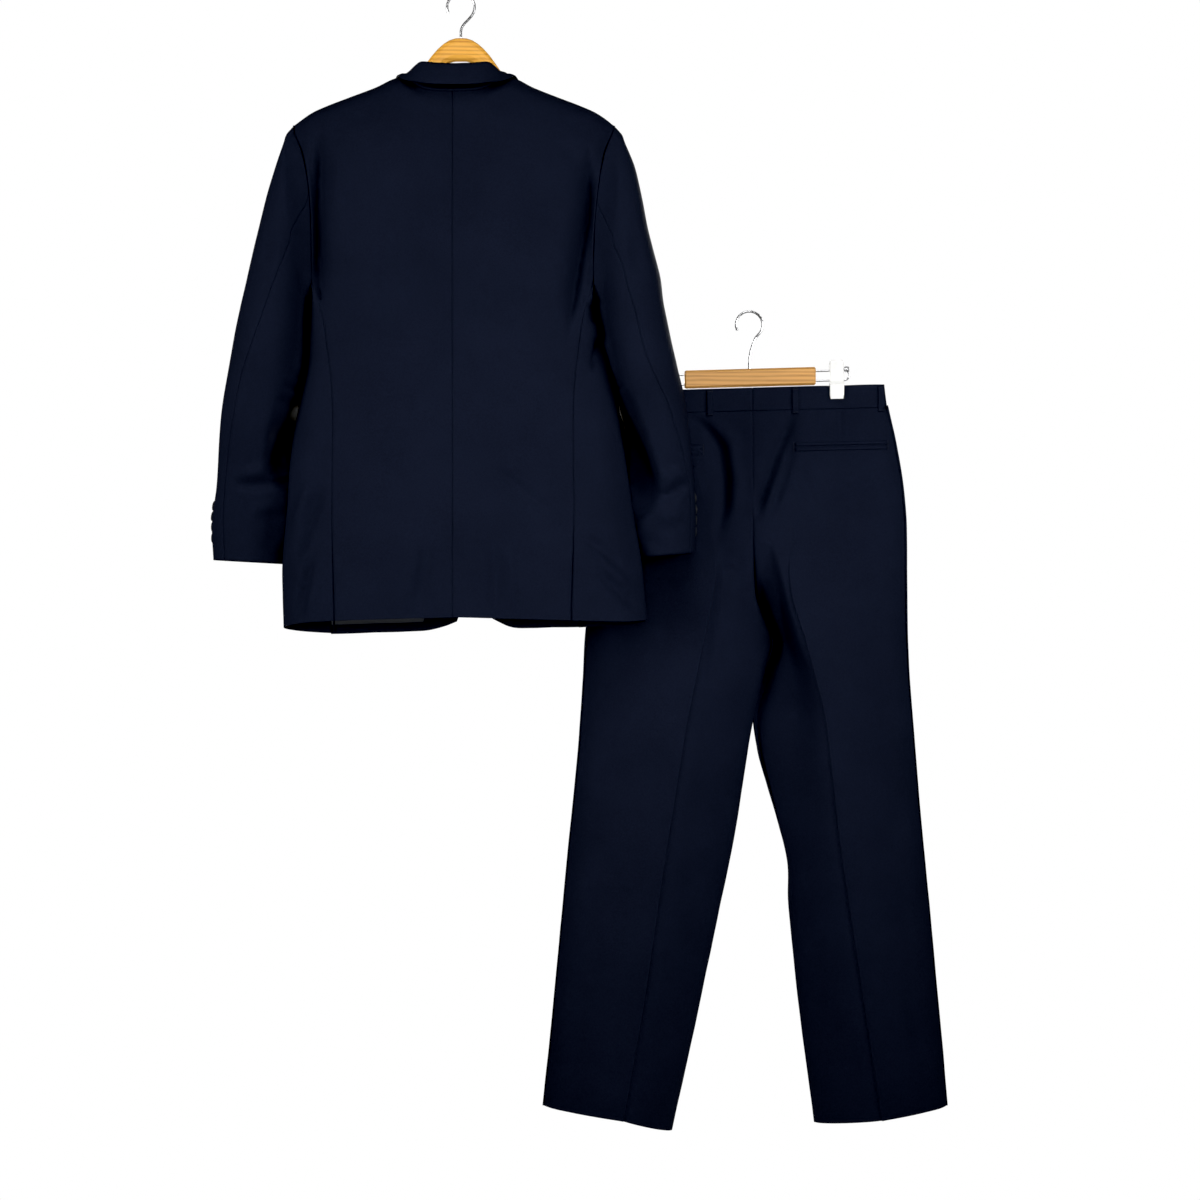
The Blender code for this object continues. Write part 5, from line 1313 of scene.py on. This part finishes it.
def fourHoleButton(name, node, ground):
    # a dished disc with a raised rim and four holes, sewn on through them
    values = sewnButton
    at = np.array([v.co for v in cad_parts[node].data.vertices])
    centre = (at.max(0) + at.min(0)) / 2
    axis = np.linalg.svd(at - centre, full_matrices=False)[2][2]
    ahead, behind = (
        ground.ray_cast(Vector(centre), Vector(way), values["look"])[3] or 1 for way in (axis, -axis))
    axis = axis if ahead > behind else -axis
    along = (at - centre) @ axis
    radius = np.linalg.norm(at - centre - np.outer(along, axis), axis=1).max()
    half = abs(along).max()
    side = np.cross(axis, (0, 0, 1))
    side /= np.linalg.norm(side)
    over = np.cross(side, axis)
    turns = np.arange(values["spokes"]) * 2 * math.pi / values["spokes"]
    shares = [*np.linspace(*values["fineRings"]), *values["rings"]]
    rings = [(share, values["dish"] * (1 - step01(*values["rim"], share)), True) for share in shares]
    for t in np.linspace(0, math.pi / 2, 6)[1:]:
        share = values["round"] + (1 - values["round"]) * math.sin(t)
        rings.append((share, values["edge"] * (1 - math.cos(t)), False))
    rings += [(share, low, False) for share, low in values["back"]]
    points = []
    for share, low, holed in rings:
        for t in turns:
            u, v = share * math.cos(t), share * math.sin(t)
            sunk = low
            if holed:
                away = math.hypot(abs(u) - values["holeAt"], abs(v) - values["holeAt"])
                sunk += values["holeDeep"] * (1 - step01(*values["hole"], away))
            points.append(centre + radius * (u * side + v * over) + half * (1 - sunk) * axis)
    count = values["spokes"]
    faces = []
    for k in range(len(rings) - 1):
        for j in range(count):
            a, b = k * count + j, k * count + (j + 1) % count
            faces.append((a, a + count, b + count, b))
    faces += [tuple(range(count)), tuple(len(points) - count + j for j in range(count))[::-1]]
    plainPiece(name, points, faces, buttonBlack, "button", node)
    hole = values["holeAt"] * radius
    base = centre + half * (1 - values["dish"]) * axis
    bridges = []
    shares = np.linspace(-1, 1, 9)
    for level in (-1, 1):
        for lift in (-values["pair"], values["pair"]):
            bows = [values["bow"] * (1 - b ** 4) - values["inHole"] * b ** 4 for b in shares]
            path = [base + side * hole * b + over * (hole * level + lift * mm) + axis * bow * mm
                    for b, bow in zip(shares, bows)]
            bridges.append(wire(path, values["thread"] * mm, 6))
    plainPiece(name + "Thread", *joined(bridges), thread)


def cloths(*names):
    return groundOf(*(bpy.data.objects[name] for name in names))


ground = cloths("jacketFrontLeft", "jacketFrontRight")
for number in (1, 2):
    fourHoleButton(f"frontButton{number}", f"front_button_{number}", ground)
for side in signs:
    word = side.capitalize()
    cuff = cloths(f"sleeveTop{word}", f"sleeveUnder{word}")
    for number in range(1, 5):
        fourHoleButton(f"cuffButton{word}{number}", f"cuff_button_{side}_{number}", cuff)
print("buttons sewn on")

solidFinishes = {"jacket_hanger_wood": hangerWood, "trouser_hanger_bar": barWood, "jacket_hanger_hook": steel,
                 "trouser_hanger_hook": steel, "trouser_hanger_rods": steel}
solidFinishes.update({f"clip_{side}_{jaw}": clipPlastic for side in signs for jaw in ("front", "back")})
for node, material in solidFinishes.items():
    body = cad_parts[node]
    body.data.materials.clear()
    body.data.materials.append(material)


stitchShape = {"Segments": 8, "Rings": 6, "Radius": 0.5}
stitchSeed = 3


def stitchTree():
    # stitches along a path, one tree for all seams
    tree = bpy.data.node_groups.new("stitchRun", "GeometryNodeTree")
    tree.interface.new_socket(name="Path", in_out="INPUT", socket_type="NodeSocketGeometry")
    for name in ("Spacing", "Length", "Thickness", "Wander"):
        tree.interface.new_socket(name=name, in_out="INPUT", socket_type="NodeSocketFloat")
    tree.interface.new_socket(name="Stitches", in_out="OUTPUT", socket_type="NodeSocketGeometry")

    def add(kind, **settings):
        node = tree.nodes.new(kind)
        for key, value in settings.items():
            setattr(node, key, value)
        return node

    given, result = add("NodeGroupInput"), add("NodeGroupOutput")
    curve, spaced = add("GeometryNodeMeshToCurve"), add("GeometryNodeResampleCurve", mode="LENGTH")
    ball, tangent = add("GeometryNodeMeshUVSphere"), add("GeometryNodeInputTangent")
    turn, size = add("FunctionNodeAlignRotationToVector", axis="X"), add("ShaderNodeCombineXYZ")
    chance, most = add("FunctionNodeRandomValue"), add("ShaderNodeMath")
    least, long = (add("ShaderNodeMath", operation=kind) for kind in ("SUBTRACT", "MULTIPLY"))
    placed, real = add("GeometryNodeInstanceOnPoints"), add("GeometryNodeRealizeInstances")
    painted = add("GeometryNodeSetMaterial")
    for name, value in stitchShape.items():
        ball.inputs[name].default_value = value
    least.inputs[0].default_value = most.inputs[0].default_value = 1
    chance.inputs["Seed"].default_value = stitchSeed
    painted.inputs["Material"].default_value = thread
    for out, into in (
            (given.outputs["Path"], curve.inputs[0]), (curve.outputs[0], spaced.inputs["Curve"]),
            (given.outputs["Spacing"], spaced.inputs["Length"]), (spaced.outputs[0], placed.inputs["Points"]),
            (ball.outputs["Mesh"], placed.inputs["Instance"]), (tangent.outputs[0], turn.inputs["Vector"]),
            (turn.outputs[0], placed.inputs["Rotation"]), (given.outputs["Wander"], least.inputs[1]),
            (given.outputs["Wander"], most.inputs[1]), (least.outputs[0], chance.inputs[2]),
            (most.outputs[0], chance.inputs[3]), (chance.outputs[1], long.inputs[0]),
            (given.outputs["Length"], long.inputs[1]), (long.outputs[0], size.inputs[0]),
            (given.outputs["Thickness"], size.inputs[1]), (given.outputs["Thickness"], size.inputs[2]),
            (size.outputs[0], placed.inputs["Scale"]), (placed.outputs[0], real.inputs[0]),
            (real.outputs[0], painted.inputs["Geometry"]), (painted.outputs[0], result.inputs["Stitches"])):
        tree.links.new(out, into)
    return tree


stitchRun = stitchTree()
stitchSizes = {     # in metres
    "tack": {"Spacing": 0.0007, "Length": 0.0011, "Thickness": 0.0006, "Wander": 0.1},
    "seam": {"Spacing": 0.0030, "Length": 0.0024, "Thickness": 0.0004, "Wander": 0.08},
}
stitching = {       # places in millimetres
    "lift": 0.1, "step": 2, "fewest": 6,
    "loopHalf": 4, "loopDrops": (556.5, 590.5),
    "pocketEnds": {"Right": (60.5, 200.5), "Left": (-72.5, -208.5)}, "pocketDrops": (635, 649.5),
    "fly": (36, 592), "flyCurve": (2, 712, 34, 40),         # its start, then the curve's centre and reach
    "holeEnds": (29, 5), "holeDrops": (560, 662), "holeHalf": 0.9, "lapelHole": ((-84, 262), (-106, 267)),
}


def stitched(name, ground, toward, paths, kind):
    # paths are runs of (x, z) spots on the cloth, in metres
    points, edges = [], []
    for path in paths:
        long = sum(math.dist(a, b) for a, b in zip(path, path[1:]))
        count = max(stitching["fewest"], int(long / (stitching["step"] * mm)))
        share = np.linspace(0, len(path) - 1, count)
        spots = np.stack([np.interp(share, range(len(path)), [spot[k] for spot in path]) for k in (0, 1)], 1)
        height = heights(ground, spots[None], toward)[0] + stitching["lift"] * mm
        edges += [(len(points) + k, len(points) + k + 1) for k in range(count - 1)]
        points += [(x, toward * h, z) for (x, z), h in zip(spots, height)]
    mesh = bpy.data.meshes.new(name + "Path")
    mesh.from_pydata(points, edges, [])
    route = bpy.data.objects.new(name + "Path", mesh)
    bpy.context.scene.collection.objects.link(route)
    run = route.modifiers.new("stitches", "NODES")
    run.node_group = stitchRun
    for socket in stitchRun.interface.items_tree:
        if socket.name in stitchSizes[kind]:
            run[socket.identifier] = stitchSizes[kind][socket.name]
    made = bpy.data.meshes.new_from_object(route.evaluated_get(bpy.context.evaluated_depsgraph_get()))
    bpy.data.objects.remove(route)
    made.shade_smooth()
    piece = bpy.data.objects.new(name, made)
    bpy.context.scene.collection.objects.link(piece)
    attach(piece, "root")


for toward, where in ((-1, "Back"), (1, "Front")):
    own = [(loopName(*key), x) for key, x in beltLoop["x"].items() if loopWay(key[0]) == toward]
    ground = cloths("waistbandLeft", "waistbandRight", f"trouser{where}Left", f"trouser{where}Right",
                    *(name for name, _ in own))
    offs = (-stitching["loopHalf"], stitching["loopHalf"])
    bars = [[trouserSpot(x + off, drop) for off in offs] for _, x in own for drop in stitching["loopDrops"]]
    stitched(f"loopTacks{where}", ground, toward, bars, "tack")
for word, ends in stitching["pocketEnds"].items():
    ground = cloths(f"trouserBack{word}", f"pocketJet{word}Upper", f"pocketJet{word}Lower")
    bars = [[trouserSpot(x, drop) for drop in stitching["pocketDrops"]] for x in ends]
    stitched(f"pocketTacks{word}", ground, -1, bars, "tack")
centreX, centreDrop, across, down = stitching["flyCurve"]
turns = np.linspace(0, math.pi / 2, 8)
curve = [trouserSpot(centreX + across * math.cos(t), centreDrop + down * math.sin(t)) for t in turns]
ground = cloths("trouserFrontLeft", "trouserFrontRight")
stitched("flyStitches", ground, 1, [[trouserSpot(*stitching["fly"])] + curve], "seam")
offs, ends = (-stitching["holeHalf"], stitching["holeHalf"]), stitching["holeEnds"]
holes = [[jacketSpot(x, drop + off) for x in ends] for drop in stitching["holeDrops"] for off in offs]
holes += [[jacketSpot(x, drop + off) for x, drop in stitching["lapelHole"]] for off in offs]
stitched("buttonholes", cloths("jacketFrontLeft", "jacketFrontRight", "lapelLeft"), 1, holes, "tack")
print("stitches made")

clipSpring = {"turns": 5, "steps": 20, "radius": 4.2, "wire": 0.55, "long": 6.5, "beside": 12,
              "clips": {"left": (293, 531), "right": (549, 524)}}       # x and drop of each clip's centre
for side, (centre, drop) in clipSpring["clips"].items():
    turns = np.linspace(0, clipSpring["turns"] * 2 * math.pi, clipSpring["turns"] * clipSpring["steps"])
    x = centre + clipSpring["beside"] + clipSpring["long"] * turns / turns[-1]
    y, z = (clipSpring["radius"] * part(turns) for part in (np.cos, np.sin))
    path = np.stack([x, trousersY + y, z - drop], 1) * mm
    plainPiece(f"clipSpring{side.capitalize()}", *wire(path, clipSpring["wire"] * mm, 8), steel, "steel")
print("hangers finished")


studio = {          # in metres
    "camera": (0.199, -3.2, -0.8657), "frameWidth": 1.716, "sensor": 36, "sees": 50,
    "worldLight": 0.05, "background": 1.0, "blackLevel": (0.0052, 0.0061, 0.009),
    "floor": ((-2.4, -1.9), (2.8, -1.9), (2.8, 0.86), (-2.4, 0.86)), "floorDrop": 2.06,
    "floorDark": (0.86, 0.86, 0.86, 1), "floorPale": (0.9, 0.9, 0.9, 1), "floorCloud": (3, 3, 0.6),
    "floorRough": (0.7, 0.1), "floorSpecular": 0.2,
    "floorLight": 0.22, "floorSeen": 0.8,       # its weak glow, and the one that only the camera sees
    "lights": (     # place, aim, size, cone in degrees and power
        ("leftLight", (-2.3, -1.9, -0.4), (0.1, 0, -0.5), 0.7, 60, 240),
        ("rightLight", (2.7, -1.9, -0.5), (0.35, 0, -0.62), 0.7, 62, 235),
        ("topLight", (0.2, -2.0, 1.4), (0.15, 0, -0.4), 0.9, 52, 135),
        ("frontLight", (0.4, -3.1, -0.5), (0.25, 0, -0.66), 0.8, 44, 132),
        ("lowLight", (0.2, -3.1, -1.6), (0.15, 0, -0.95), 0.4, 24, 40),
        ("rearLeftLight", (-0.9, 3.2, 0.1), (0.1, 0, -0.6), 0.7, 60, 300),
        ("rearRightLight", (1.3, 3.2, 0.1), (0.3, 0, -0.6), 0.7, 60, 300),
        ("rearLowLight", (0.2, 3.3, -1.3), (0.2, 0, -1.1), 0.7, 56, 160),
    ),
}

camera = bpy.data.cameras.new("camera")
camera.sensor_width = studio["sensor"]
camera.lens = studio["sensor"] * -studio["camera"][1] / studio["frameWidth"]
camera.clip_end = studio["sees"]
cameraObject = bpy.data.objects.new("camera", camera)
cameraObject.location = studio["camera"]
cameraObject.rotation_euler = (math.radians(90), 0, 0)
bpy.context.scene.collection.objects.link(cameraObject)
bpy.context.scene.camera = cameraObject

world = bpy.data.worlds.new("studio")
world.use_nodes = True
bpy.context.scene.world = world
picture = bpy.context.scene.view_settings
picture.view_transform = "Standard"
picture.use_curve_mapping = True
picture.curve_mapping.black_level = studio["blackLevel"]
picture.curve_mapping.update()
tree = world.node_tree
back = tree.nodes["Background"]
back.inputs["Color"].default_value = (1, 1, 1, 1)
back.inputs["Strength"].default_value = studio["worldLight"]
seen = tree.nodes.new("ShaderNodeBackground")
seen.inputs["Color"].default_value = (1, 1, 1, 1)
seen.inputs["Strength"].default_value = studio["background"]
path = tree.nodes.new("ShaderNodeLightPath")
both = tree.nodes.new("ShaderNodeMixShader")
tree.links.new(path.outputs["Is Camera Ray"], both.inputs[0])
tree.links.new(back.outputs[0], both.inputs[1])
tree.links.new(seen.outputs[0], both.inputs[2])
tree.links.new(both.outputs[0], tree.nodes["World Output"].inputs["Surface"])

for name, place, target, size, cone, power in studio["lights"]:
    light = bpy.data.lights.new(name, "SPOT")
    light.energy = power
    light.shadow_soft_size = size
    light.spot_size = math.radians(cone)
    light.spot_blend = 1
    lamp = bpy.data.objects.new(name, light)
    lamp.location = place
    lamp.rotation_euler = (Vector(target) - Vector(place)).to_track_quat("-Z", "Y").to_euler()
    bpy.context.scene.collection.objects.link(lamp)


def paleFloor():
    finish = Finish("paleFloor", **{
        "Specular IOR Level": studio["floorSpecular"], "Emission Color": (1, 1, 1, 1),
        "Emission Strength": studio["floorLight"]})
    cloud = finish.noise(finish.place(), *studio["floorCloud"])
    finish.feed("Base Color", finish.mixed(cloud, studio["floorDark"], studio["floorPale"]))
    finish.rough(cloud, *studio["floorRough"])
    glow = finish.add("ShaderNodeEmission", {}, {"Strength": studio["floorSeen"]})
    seen = finish.add("ShaderNodeLightPath", {}, {}, "Is Camera Ray")
    plain = Value(finish, finish.shader.outputs[0])
    both = finish.add("ShaderNodeMixShader", {}, [seen, plain, glow])
    finish.links.new(both.socket, finish.nodes["Material Output"].inputs[0])
    points = [(x, y, -studio["floorDrop"]) for x, y in studio["floor"]]
    floor = meshPiece("floor", points, [(0, 1, 2, 3)], [finish.material])


paleFloor()
print("studio ready")

for name, sheet in sheets.items():
    across, along, area = sheet["cut"]
    min(area, across * along)
